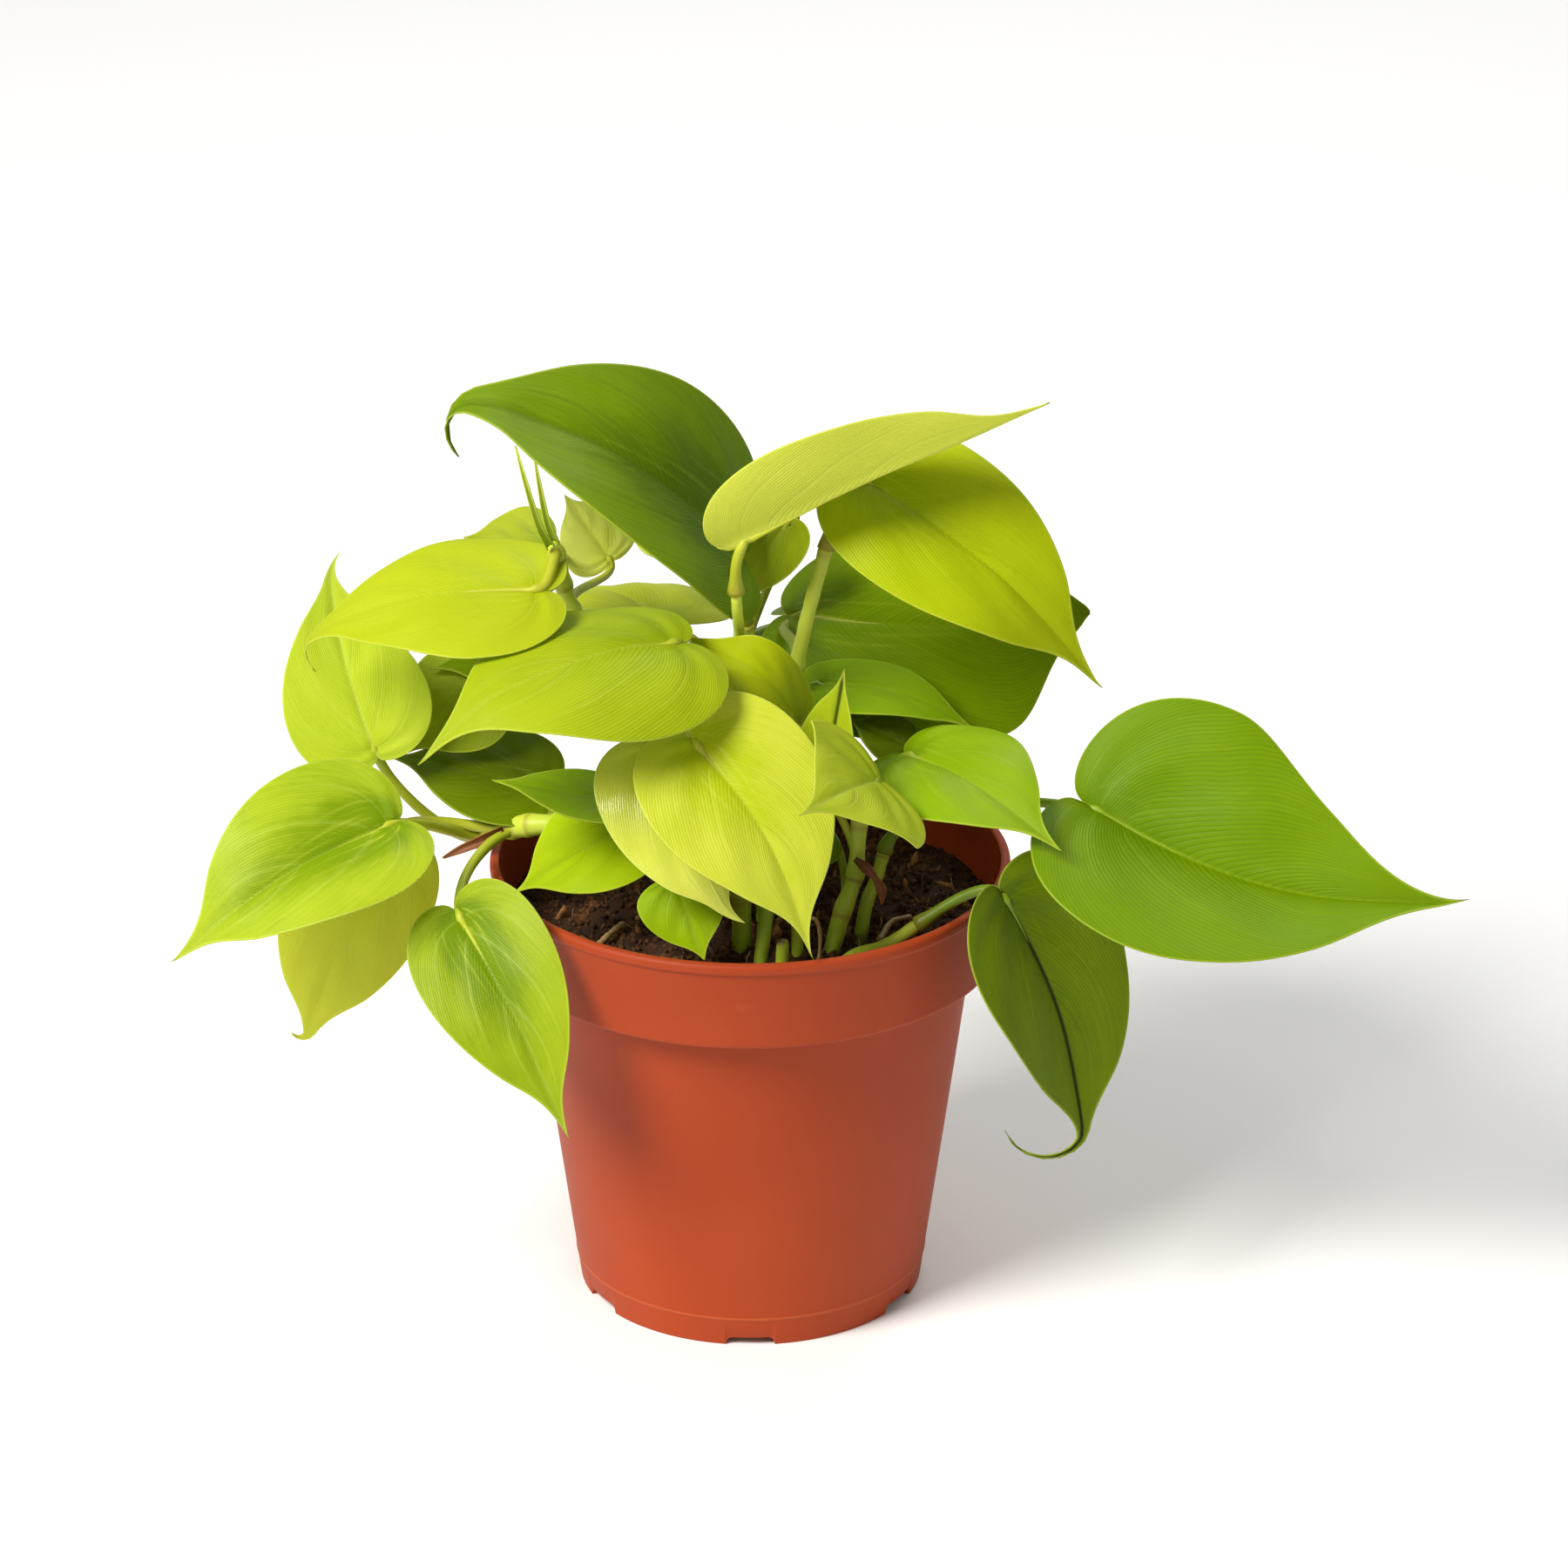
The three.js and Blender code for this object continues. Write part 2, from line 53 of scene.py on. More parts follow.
def addNode(tree, kind, settings=None, sockets=None):
    # settings come first, because some of them change which sockets there are
    node = tree.nodes.new(kind)
    for key, value in (settings or {}).items():
        setattr(node, key, value)
    for key, value in (sockets or {}).items():
        value = value.socket if isinstance(value, Val) else value
        if isinstance(value, bpy.types.NodeSocket):
            tree.links.new(value, node.inputs[key])
        else:
            node.inputs[key].default_value = value
    return node


class Val:
    # A socket that takes part in sums, so that shader maths reads as maths.
    def __init__(self, tree, socket):
        self.tree = tree
        self.socket = socket

    def math(self, operation, *terms):
        made = addNode(self.tree, "ShaderNodeMath", {"operation": operation}, dict(enumerate(terms)))
        return Val(self.tree, made.outputs[0])

    def __add__(self, other):
        return self.math("ADD", self, other)

    def __radd__(self, other):
        return self.math("ADD", other, self)

    def __sub__(self, other):
        return self.math("SUBTRACT", self, other)

    def __rsub__(self, other):
        return self.math("SUBTRACT", other, self)

    def __mul__(self, other):
        return self.math("MULTIPLY", self, other)

    def __rmul__(self, other):
        return self.math("MULTIPLY", other, self)

    def __pow__(self, other):
        return self.math("POWER", self, other)

    def abs(self):
        return self.math("ABSOLUTE", self)

    def fract(self):
        return self.math("FRACT", self)

    def step(self, start, end):
        # 0 before start, 1 after end, smooth between them; start may be the larger
        flip = start > end
        made = addNode(self.tree, "ShaderNodeMapRange", {"interpolation_type": "SMOOTHSTEP"}, {
            "Value": self, "From Min": min(start, end), "From Max": max(start, end),
            "To Min": float(flip), "To Max": float(not flip)})
        return Val(self.tree, made.outputs["Result"])


def tint(colour):
    # an everyday 0 to 255 colour as linear light
    parts = [c / 255 for c in colour]
    return (*[c / 12.92 if c <= 0.04045 else ((c + 0.055) / 1.055) ** 2.4 for c in parts], 1.0)


def toward(colour, other, share):
    return [(1 - share) * c + share * p for c, p in zip(colour, other)]


def dimmed(colour, share):
    return [c * share for c in colour]


class Finish:
    # A material under construction.
    def __init__(self, name):
        self.material = bpy.data.materials.new(name)
        self.material.use_nodes = True
        self.tree = self.material.node_tree
        self.tree.nodes.clear()

    def node(self, kind, settings=None, sockets=None):
        return addNode(self.tree, kind, settings, sockets)

    def attribute(self, name):
        # the three numbers that a piece's mesh carries under that name
        read = self.node("ShaderNodeAttribute", {"attribute_name": name})
        split = self.node("ShaderNodeSeparateXYZ", sockets={0: read.outputs["Vector"]})
        return [Val(self.tree, out) for out in split.outputs]

    def noise(self, scale, detail=3.0, rough=0.5, vector=None):
        place = vector or self.node("ShaderNodeTexCoord").outputs["Object"]
        made = self.node("ShaderNodeTexNoise", sockets={
            "Vector": place, "Scale": scale, "Detail": detail, "Roughness": rough})
        return Val(self.tree, made.outputs["Fac"])

    def blend(self, first, second, share):
        # share 0 gives the first; each is a 0 to 255 colour or a socket
        ends = [tint(c) if isinstance(c, (tuple, list)) else c for c in (first, second)]
        made = self.node("ShaderNodeMix", {"data_type": "RGBA"}, {0: share, 6: ends[0], 7: ends[1]})
        return made.outputs[2]

    def bump(self, height, strength, distance):
        made = self.node("ShaderNodeBump", sockets={
            "Height": height, "Strength": strength, "Distance": distance})
        return made.outputs["Normal"]

    def skin(self, sockets):
        return self.node("ShaderNodeBsdfPrincipled", sockets=sockets).outputs[0]

    def close(self, shader):
        self.node("ShaderNodeOutputMaterial", sockets={"Surface": shader})
        return self.material


def plainMesh(name, verts, faces):
    mesh = bpy.data.meshes.new(name)
    mesh.from_pydata([tuple(v) for v in np.asarray(verts, float) * mm], [], faces)
    return mesh


def addObject(name, data):
    thing = bpy.data.objects.new(name, data)
    bpy.context.collection.objects.link(thing)
    return thing


def applyModifier(piece, modifier):
    # leaves the result as a plain mesh
    made = bpy.data.meshes.new_from_object(
        piece.evaluated_get(bpy.context.evaluated_depsgraph_get()))
    piece.modifiers.remove(modifier)
    piece.data = made


def makePiece(name, verts, faces, materials, slots=None, values=None):
    # verts in mm; values are per-vertex triples that the materials read
    mesh = plainMesh(name, verts, faces)
    for key, data in (values or {}).items():
        layer = mesh.attributes.new(key, "FLOAT_VECTOR", "POINT")
        layer.data.foreach_set("vector", np.asarray(data, np.float32).ravel())
    for material in materials:
        mesh.materials.append(material)
    if slots is not None:
        mesh.polygons.foreach_set("material_index", np.asarray(slots, np.int32))
    shape = bmesh.new()
    shape.from_mesh(mesh)
    bmesh.ops.recalc_face_normals(shape, faces=shape.faces)
    shape.to_mesh(mesh)
    shape.free()
    mesh.shade_smooth()
    return addObject(name, mesh)


def nodeName(name):
    # the CAD node that a piece stands for: leafTopLeft gives leaf_top_left
    return "".join("_" + c.lower() if c.isupper() else c for c in name)


def finishPiece(piece, nodes):
    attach(piece, "root")
    if nodes:
        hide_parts(*nodes)


def unit(vectors):
    length = np.linalg.norm(vectors, axis=-1, keepdims=True)
    return vectors / np.maximum(length, 1e-9)


def tubeShape(points, radii, sides):
    # A closed tube along points, with a low cone on each end.
    points = np.asarray(points, float)
    radii = np.asarray(radii, float)
    ahead = unit(np.gradient(points, axis=0))
    side = np.cross(ahead[0], (0.3, 0.9, 0.2))  # any direction off the first run
    turn = np.linspace(0, 2 * np.pi, sides, endpoint=False)[:, None]
    rings = []
    for i, forward in enumerate(ahead):
        side = side - forward * side.dot(forward)
        side = side / np.linalg.norm(side)
        rings.append(points[i] + radii[i] * (np.cos(turn) * side + np.sin(turn) * np.cross(forward, side)))
    verts = np.concatenate(rings + [points[:1] - ahead[:1] * radii[0] * 0.5,
                                    points[-1:] + ahead[-1:] * radii[-1] * 0.5])
    count = len(points)
    faces = []
    for i in range(count - 1):
        for j in range(sides):
            k = (j + 1) % sides
            faces.append((i * sides + j, i * sides + k, (i + 1) * sides + k, (i + 1) * sides + j))
    for j in range(sides):
        k = (j + 1) % sides
        faces.append((k, j, count * sides))
        faces.append(((count - 1) * sides + j, (count - 1) * sides + k, count * sides + 1))
    along = np.concatenate([np.repeat(np.linspace(0, 1, count), sides), [0.0, 1.0]])
    return verts, faces, along


def closedSheet(top, low):
    # an upper and a lower grid of points as one closed body
    rows, columns = top.shape[:2]
    size = rows * columns
    faces = []
    for i in range(rows - 1):
        for j in range(columns - 1):
            a = i * columns + j
            faces.append((a, a + 1, a + columns + 1, a + columns))
            faces.append((size + a, size + a + columns, size + a + columns + 1, size + a + 1))
    border = (list(range(columns)) + [i * columns + columns - 1 for i in range(1, rows)]
              + [(rows - 1) * columns + j for j in range(columns - 2, -1, -1)]
              + [i * columns for i in range(rows - 2, 0, -1)])
    for a, b in zip(border, border[1:] + border[:1]):
        faces.append((b, a, size + a, size + b))
    return np.concatenate([top.reshape(-1, 3), low.reshape(-1, 3)]), faces


def stemPlace(along, ring=0, scar=0):
    # what stemFinish reads: how far along, how near a joint, how much dried or soiled
    return {"stemPlace": np.stack([along, along * 0 + ring, along * 0 + scar], 1)}


class Rail:
    # A smooth line through points, the same one that the part's own shoots follow.
    def __init__(self, points):
        self.points = np.asarray(points, float)

    def at(self, t):
        points = self.points
        count = len(points)
        place = (count - 1) * t
        i = min(int(place), count - 2)
        w = place - i
        before = points[i - 1] if i > 0 else 2 * points[0] - points[1]
        after = points[i + 2] if i + 2 < count else 2 * points[-1] - points[-2]
        a, b = points[i], points[i + 1]
        da, db = 0.5 * (b - before), 0.5 * (after - a)
        return (a + da * w + (3 * (b - a) - 2 * da - db) * w ** 2
                + (2 * (a - b) + da + db) * w ** 3)

    def heading(self, t):
        low, high = max(0, t - 1e-3), min(1, t + 1e-3)
        return unit(self.at(high) - self.at(low))

    def line(self, count):
        return np.array([self.at(t) for t in np.linspace(0, 1, count)])


def bezier(t, a, b, c, d):
    t = np.asarray(t, float)
    s = 1 - t
    return s ** 3 * a + 3 * s * s * t * b + 3 * s * t * t * c + t ** 3 * d


studio = {
    "camera": (0.00683, -1.3351, 0.700), "pitch": 66.11, "lens": 167.08, "sensor": 36, "seesTo": 20,
    "sky": 0.34, "floor": (0.88, 0.88, 0.87, 1.0), "floorRoughness": 0.9,
    "floorCorners": ((-4000, -3000, 0), (4000, -3000, 0), (4000, 5000, 0), (-4000, 5000, 0)),
    "lights": {
        "key": dict(place=(-0.85, -0.7, 1.15), target=(0, 0, 0.10), size=0.7, power=33,
                    colour=(1.0, 0.98, 0.93)),
        "fill": dict(place=(0.9, -1.0, 0.8), target=(0, 0, 0.08), size=0.9, power=1.2,
                     colour=(1.0, 0.99, 0.97)),
        "back": dict(place=(0.3, 0.9, 1.2), target=(0, 0, 0.12), size=0.8, power=8,
                     colour=(1.0, 1.0, 1.0)),
    },
}


def makeStudio():
    camera = bpy.data.cameras.new("camera")
    camera.lens = studio["lens"]
    camera.sensor_width = studio["sensor"]
    camera.clip_end = studio["seesTo"]
    holder = addObject("camera", camera)
    holder.location = studio["camera"]
    holder.rotation_euler = (math.radians(studio["pitch"]), 0, 0)
    bpy.context.scene.camera = holder
    bpy.context.scene.view_settings.view_transform = "Standard"
    world = bpy.data.worlds.new("world")
    world.use_nodes = True
    sky = world.node_tree.nodes["Background"]
    sky.inputs["Color"].default_value = (1, 1, 1, 1)
    sky.inputs["Strength"].default_value = studio["sky"]
    bpy.context.scene.world = world
    for name, given in studio["lights"].items():
        lamp = bpy.data.lights.new(name, "AREA")
        lamp.shape = "DISK"
        lamp.size = given["size"]
        lamp.energy = given["power"]
        lamp.color = given["colour"]
        holder = addObject(name, lamp)
        holder.location = given["place"]
        aim = Vector(given["target"]) - Vector(given["place"])
        holder.rotation_euler = aim.to_track_quat("-Z", "Y").to_euler()
    plate = Finish("studioFloor")
    material = plate.close(plate.skin({
        "Base Color": studio["floor"], "Roughness": studio["floorRoughness"]}))
    makePiece("studioFloor", studio["floorCorners"], [(0, 1, 2, 3)], [material])
    print("studio ready")


pot = {
    "collarHeight": 19, "collarDraft": 1.4, "collarStep": 5.2, "baseRadius": 35, "wall": 1.3,
    "beadHeight": 2.4, "beadReach": 0.7, "floorRise": 2.2, "floorThickness": 1.5, "padRadius": 11,
    "turns": 216, "notchCount": 6, "notchWidth": 10, "notchHeight": 1.6, "notchCorner": 1.5,
    "notchSteps": (-0.004, -0.0005, 0.0005, 0.003, 0.007, 0.012, 0.018, 0.026, 0.036, 0.05),
    "liftOutside": 3.5, "liftInside": 2.2,  # the foot's cut is taken up over these heights
    "flareHeight": 74, "flare": 9, "soilFrom": 60, "soilBelowRim": 1.2,
    "drainCount": 6, "drainRadius": 3.5, "drainRing": 24, "drainSides": 32, "drillLength": 20,
    "partingHeight": 6.2, "partingReach": 0.16,
    "colour": (170, 66, 26), "shade": (150, 54, 18), "dust": (190, 98, 56), "soil": (70, 26, 12),
}


def potFinish():
    skin = Finish("potPlastic")
    broad = skin.noise(14, 2)
    fine = skin.noise(900, 2, 0.6)
    scuff = skin.noise(130, 6, 0.7)
    parting, inside, _ = skin.attribute("wallPlace")
    ground = skin.blend(pot["shade"], pot["colour"], broad.step(0.25, 0.75))
    worn = skin.blend(ground, pot["dust"], scuff.step(0.62, 0.8) * 0.25 + parting * 0.35)
    soiled = skin.blend(worn, pot["soil"], inside * scuff.step(0.35, 0.6) * 0.9)
    grain = skin.noise(2600, 2, 0.6)
    return skin.close(skin.skin({
        "Base Color": soiled, "Roughness": 0.46 + 0.14 * scuff + 0.2 * inside,
        "Specular IOR Level": 0.2, "Normal": skin.bump(fine + grain * 0.6, 0.12, 0.00012)}))


def notchLift(angle):
    # how far the foot is cut up at that angle, with rounded upper corners
    spacing = 2 * math.pi / pot["notchCount"]
    off = (angle + math.pi / 2 + spacing / 2) % spacing - spacing / 2
    half = pot["notchWidth"] / 2 / pot["baseRadius"]
    corner = pot["notchCorner"] / pot["baseRadius"]
    if abs(off) >= half:
        return 0.0
    into = max(0.0, (abs(off) - half + corner) / corner)
    return pot["notchHeight"] * math.sqrt(max(0.0, 1 - into ** 2))


def potAngles():
    # even turns, with more of them where a notch starts and ends
    angles = set(np.round(np.linspace(0, 2 * np.pi, pot["turns"], endpoint=False), 5))
    half = pot["notchWidth"] / 2 / pot["baseRadius"]
    for i in range(pot["notchCount"]):
        middle = -math.pi / 2 + i * 2 * math.pi / pot["notchCount"]
        for edge, inward in ((middle - half, 1), (middle + half, -1)):
            for step in pot["notchSteps"]:
                angles.add(round((edge + inward * step) % (2 * math.pi), 5))
    return sorted(angles)


def rounded(corner, before, after, reach, steps=5):
    # a rounded corner between two straight runs of a profile
    corner, before, after = (np.array(p, float) for p in (corner, before, after))
    start = corner + unit(before - corner) * reach
    end = corner + unit(after - corner) * reach
    t = np.linspace(0, 1, steps)[:, None]
    return list((1 - t) ** 2 * start + 2 * t * (1 - t) * corner + t * t * end)


def potProfile():
    # radius and height of each ring: up the outside and down to the floor, then the underside
    wall, base = pot["wall"], pot["baseRadius"]
    collarFoot = potTop - pot["collarHeight"]
    collarTop = potTop - pot["beadHeight"]
    collar = rimRadius - pot["beadReach"]
    collarLow = collar - pot["collarDraft"]
    body = collarLow - pot["collarStep"]
    floorLow = pot["floorRise"]
    floorTop = floorLow + pot["floorThickness"]
    pad = pot["padRadius"]

    def bodyAt(z):
        return base + (body - base) * z / collarFoot

    mark, out = pot["partingHeight"], pot["partingReach"]
    corners = [  # radius, height, rounding
        (base - 0.5, 0, 0), (base, 0, 0.35),
        (bodyAt(mark - 0.5), mark - 0.5, 0.1), (bodyAt(mark) + out, mark, 0.12),
        (bodyAt(mark + 0.4), mark + 0.4, 0.1), (bodyAt(collarFoot * 0.35), collarFoot * 0.35, 2),
        (bodyAt(collarFoot * 0.7), collarFoot * 0.7, 2),
        (body, collarFoot + 0.9, 0.4), (collarLow - 0.8, collarFoot + 0.5, 0.2),
        (collarLow - 0.1, collarFoot, 0.25), (collarLow + 0.2, collarFoot + 0.7, 0.25),
        (collar, collarTop - 0.1, 0.45), (rimRadius - 0.05, collarTop + 0.2, 0.35),
        (rimRadius, potTop - 0.6, 0.5), (rimRadius - 0.8, potTop, 0.5),
        (collar - wall, potTop - 0.15, 0.45), (collar - wall, potTop - 1.4, 0.4),
        (collarLow - wall, collarFoot + wall + 0.8, 0.7), (body - wall, collarFoot + wall, 0.6),
        (bodyAt(30) - wall, 30, 1), (base - wall + 0.2, floorTop + 2, 1.5),
        (base - wall - 2.6, floorTop, 1),
    ]
    foot = (base - wall + 0.2, 0)
    profile = [np.array(foot)]
    for i, (r, z, reach) in enumerate(corners):
        before = corners[i - 1][:2] if i else foot
        after = corners[i + 1][:2] if i + 1 < len(corners) else (0, z)
        profile.extend(rounded((r, z), before, after, reach) if reach else [np.array([r, z])])
    profile += [np.array([r, floorTop]) for r in (28, 24, 20, 14, 8, 2)]
    under = [(2, 0), (pad - 0.3, 0), (pad, 0.3), (pad + floorLow, floorLow), (20, floorLow),
             (24, floorLow), (28, floorLow), (base - wall - 1, floorLow), (base - wall - 0.1, 0.3)]
    return profile, [np.array(p, float) for p in under]


def makePot():
    top, under = potProfile()
    ring = top + under
    angles = potAngles()
    base, outside = pot["baseRadius"], pot["liftOutside"]
    verts, marks = [], []
    for angle in angles:
        lift = notchLift(angle)
        for r, z in ring:
            if r > base - pot["wall"] - 0.9 and z < outside:
                limit = outside if r > base - 0.6 else pot["liftInside"]
                if z < limit:
                    z = lift + z * (limit - lift) / limit
            verts.append((r * math.cos(angle), r * math.sin(angle), z))
            inside = r < base + (z / pot["flareHeight"]) * pot["flare"] - 1 or z > potTop - 1
            soiled = inside and pot["soilFrom"] < z < potTop - pot["soilBelowRim"]
            parted = abs(z - pot["partingHeight"]) < 0.35 and not inside
            marks.append((float(parted), float(soiled), 0))
    count, size, split = len(angles), len(ring), len(top)
    faces = []
    for i in range(count):
        n = (i + 1) % count
        for j in range(size):
            k = (j + 1) % size
            if j != split - 1:  # the floor's top and underside close on themselves
                faces.append((i * size + j, n * size + j, n * size + k, i * size + k))
    for j, z in ((split - 1, pot["floorRise"] + pot["floorThickness"]), (split, 0)):
        verts.append((0, 0, z))
        marks.append((0, 0, 0))
        for i in range(count):
            faces.append((i * size + j, ((i + 1) % count) * size + j, len(verts) - 1))
    body = makePiece("nurseryPot", verts, faces, [potFinish()], values={"wallPlace": marks})
    drillPot(body)
    print("pot", len(body.data.polygons))
    finishPiece(body, ["pot"])


def drillPot(body):
    shape = bmesh.new()
    radius = pot["drainRadius"] * mm
    for i in range(pot["drainCount"]):
        angle = 2 * math.pi * (i + 0.5) / pot["drainCount"] - math.pi / 2
        middle = Vector((math.cos(angle), math.sin(angle), 0)) * pot["drainRing"] * mm
        drill = bmesh.ops.create_cone(
            shape, cap_ends=True, segments=pot["drainSides"], depth=pot["drillLength"] * mm,
            radius1=radius, radius2=radius)
        bmesh.ops.translate(shape, verts=drill["verts"], vec=middle)
    mesh = bpy.data.meshes.new("drills")
    shape.to_mesh(mesh)
    shape.free()
    drills = addObject("drills", mesh)
    cut = body.modifiers.new("drain", "BOOLEAN")
    cut.object = drills
    cut.solver = "EXACT"
    applyModifier(body, cut)
    bpy.data.objects.remove(drills)


mix = {
    "dome": 1.5, "roughness": 1.3, "wall": 1.3, "gap": 0.6, "turns": 168, "rings": 66,
    "clearRings": 59,  # long pieces keep inside these, so that none sticks through the wall
    "skirt": 76, "body": [(44, 74.8), (43, 60), (33, 4.2)],
    "skins": {  # dark, light, warm
        "pottingMix": ((48, 26, 8), (96, 58, 24), (112, 70, 40)),
        "mixCrumbs": ((48, 26, 8), (96, 58, 24), (120, 78, 46)),
        "mixChips": ((74, 46, 28), (164, 114, 62), (150, 92, 50)),
        "mixFibres": ((70, 48, 30), (160, 124, 84), (128, 84, 48)),
    },
    "strewn": {  # density per square metre; a kind without corners is a root hair
        "mixCrumbs": dict(skin="mixCrumbs", density=330000, size=(0.35, 1.25), seed=4, kinds=6,
                          corners=12, stretch=(1, 0.85, 0.8), firstShape=0),
        "mixLumps": dict(skin="mixCrumbs", density=26000, size=(1.2, 2.6), seed=11, kinds=5,
                         corners=18, stretch=(1, 0.8, 0.6), firstShape=20),
        "mixChips": dict(skin="mixChips", density=22000, size=(1.0, 3.0), seed=23, kinds=4,
                         corners=11, stretch=(1.3, 0.6, 0.3), firstShape=40),
        "mixFibres": dict(skin="mixFibres", density=15000, size=(0.7, 1.5), seed=31, kinds=6,
                          firstShape=60),
    },
}


def mixFinish(name):
    dark, light, warm = mix["skins"][name]
    skin = Finish(name)
    shade = skin.attribute("shade")[0]
    grain = skin.noise(1300, 5, 0.65)
    broad = skin.noise(120, 4, 0.6)
    share = (grain * 0.6 + broad * 0.7 + shade * 0.5 - 0.35).step(0.2, 0.95)
    ground = skin.blend(dark, light, share)
    warmed = skin.blend(ground, warm, skin.noise(420, 3).step(0.6, 0.72) * 0.6)
    return skin.close(skin.skin({
        "Base Color": warmed, "Roughness": 0.86 + 0.1 * grain, "Specular IOR Level": 0.3,
        "Normal": skin.bump(grain + broad * 0.5, 0.7, 0.0006)}))


def chunk(name, corners, stretch, seed):
    # an irregular crumb of a few dozen faces
    draw = random.Random(seed)
    shape = bmesh.new()
    for _ in range(corners):
        point = Vector([draw.gauss(0, 1) for _ in range(3)]).normalized()
        point *= draw.uniform(0.75, 1.0)
        shape.verts.new([point[i] * stretch[i] * mm for i in range(3)])
    bmesh.ops.convex_hull(shape, input=shape.verts)
    loose = [v for v in shape.verts if not v.link_faces]
    bmesh.ops.delete(shape, geom=loose, context="VERTS")
    mesh = bpy.data.meshes.new(name)
    shape.to_mesh(mesh)
    shape.free()
    mesh.shade_smooth()
    return bpy.data.objects.new(name, mesh)


def fibre(name, seed):
    # a thin bent root hair
    draw = random.Random(seed)
    points = [(0, 0, 0)]
    for _ in range(6):
        x, y, z = points[-1]
        points.append((x + 1.1, y + draw.uniform(-0.7, 0.7), z + draw.uniform(-0.35, 0.45)))
    verts, faces, _ = tubeShape(points, np.linspace(0.16, 0.07, len(points)), 4)
    mesh = plainMesh(name, verts - verts.mean(0), faces)
    mesh.shade_smooth()
    return bpy.data.objects.new(name, mesh)


def strewTree():
    # strews the pieces of a collection over a surface
    tree = bpy.data.node_groups.new("strew", "GeometryNodeTree")
    for name, way, kind in (("Geometry", "INPUT", "Geometry"), ("Pieces", "INPUT", "Collection"),
                            ("Density", "INPUT", "Float"), ("Smallest", "INPUT", "Float"),
                            ("Largest", "INPUT", "Float"), ("Seed", "INPUT", "Int"),
                            ("Material", "INPUT", "Material"), ("Geometry", "OUTPUT", "Geometry")):
        tree.interface.new_socket(name, in_out=way, socket_type="NodeSocket" + kind)
    given = addNode(tree, "NodeGroupInput").outputs
    points = addNode(tree, "GeometryNodeDistributePointsOnFaces", sockets={
        "Mesh": given["Geometry"], "Density": given["Density"], "Seed": given["Seed"]})
    bits = addNode(tree, "GeometryNodeCollectionInfo", sockets={
        "Collection": given["Pieces"], "Separate Children": True, "Reset Children": True})
    turn = addNode(tree, "FunctionNodeRandomValue", {"data_type": "FLOAT_VECTOR"},
                   {0: (0, 0, 0), 1: (6.28, 6.28, 6.28), 8: given["Seed"]})
    size = addNode(tree, "FunctionNodeRandomValue", {"data_type": "FLOAT"},
                   {2: given["Smallest"], 3: given["Largest"], 8: given["Seed"]})
    tone = addNode(tree, "FunctionNodeRandomValue", {"data_type": "FLOAT_VECTOR"},
                   {0: (0, 0, 0), 1: (1, 1, 1), 8: given["Seed"]})
    placed = addNode(tree, "GeometryNodeInstanceOnPoints", sockets={
        "Points": points.outputs["Points"], "Instance": bits.outputs[0], "Pick Instance": True,
        "Rotation": turn.outputs[0], "Scale": size.outputs[1]})
    shaded = addNode(tree, "GeometryNodeStoreNamedAttribute",
                     {"data_type": "FLOAT_VECTOR", "domain": "INSTANCE"},
                     {"Geometry": placed.outputs[0], "Name": "shade", "Value": tone.outputs[0]})
    real = addNode(tree, "GeometryNodeRealizeInstances", sockets={"Geometry": shaded.outputs[0]})
    coated = addNode(tree, "GeometryNodeSetMaterial", sockets={
        "Geometry": real.outputs[0], "Material": given["Material"]})
    addNode(tree, "NodeGroupOutput", sockets={0: coated.outputs[0]})
    return tree


def strew(name, tree, ground, given, material):
    if "corners" in given:
        kinds = [chunk(name + "Kind%d" % i, given["corners"], given["stretch"], given["firstShape"] + i)
                 for i in range(given["kinds"])]
    else:
        kinds = [fibre(name + "Kind%d" % i, given["firstShape"] + i) for i in range(given["kinds"])]
    folder = bpy.data.collections.new(name + "Kinds")
    for kind in kinds:
        folder.objects.link(kind)
    carrier = addObject(name, ground)
    modifier = carrier.modifiers.new("strew", "NODES")
    modifier.node_group = tree
    inputs = {"Pieces": folder, "Density": given["density"], "Smallest": given["size"][0],
              "Largest": given["size"][1], "Seed": given["seed"], "Material": material}
    for item in tree.interface.items_tree:
        if item.in_out == "INPUT" and item.name in inputs:
            modifier[item.identifier] = inputs[item.name]
    applyModifier(carrier, modifier)
    carrier.data.shade_smooth()
    for kind in kinds:
        bpy.data.objects.remove(kind)
    bpy.data.collections.remove(folder)
    print(name, len(carrier.data.polygons))
    finishPiece(carrier, [])


def mixHeight(x, y, radius):
    # the crumbly top of the mix
    spread = math.hypot(x, y) / radius
    place = Vector((x, y, 3.1))
    rough = noise.fractal(place * 0.13, 0.9, 2.1, 4) * 1.5 + noise.noise(place * 0.8) * 0.35
    edge = min(1.0, (1 - spread) * 12)
    return (mixTop - mix["dome"] + mix["dome"] * (1 - spread ** 2)
            + mix["roughness"] * rough * (0.35 + 0.65 * edge) - 0.6)


def ringFaces(first, last):
    # quads between the rings that lie round a middle point
    turns = mix["turns"]
    faces = []
    for i in range(first, last):
        for j in range(turns):
            a, b = 1 + i * turns + j, 1 + i * turns + (j + 1) % turns
            faces.append((a, a + turns, b + turns, b))
    return faces


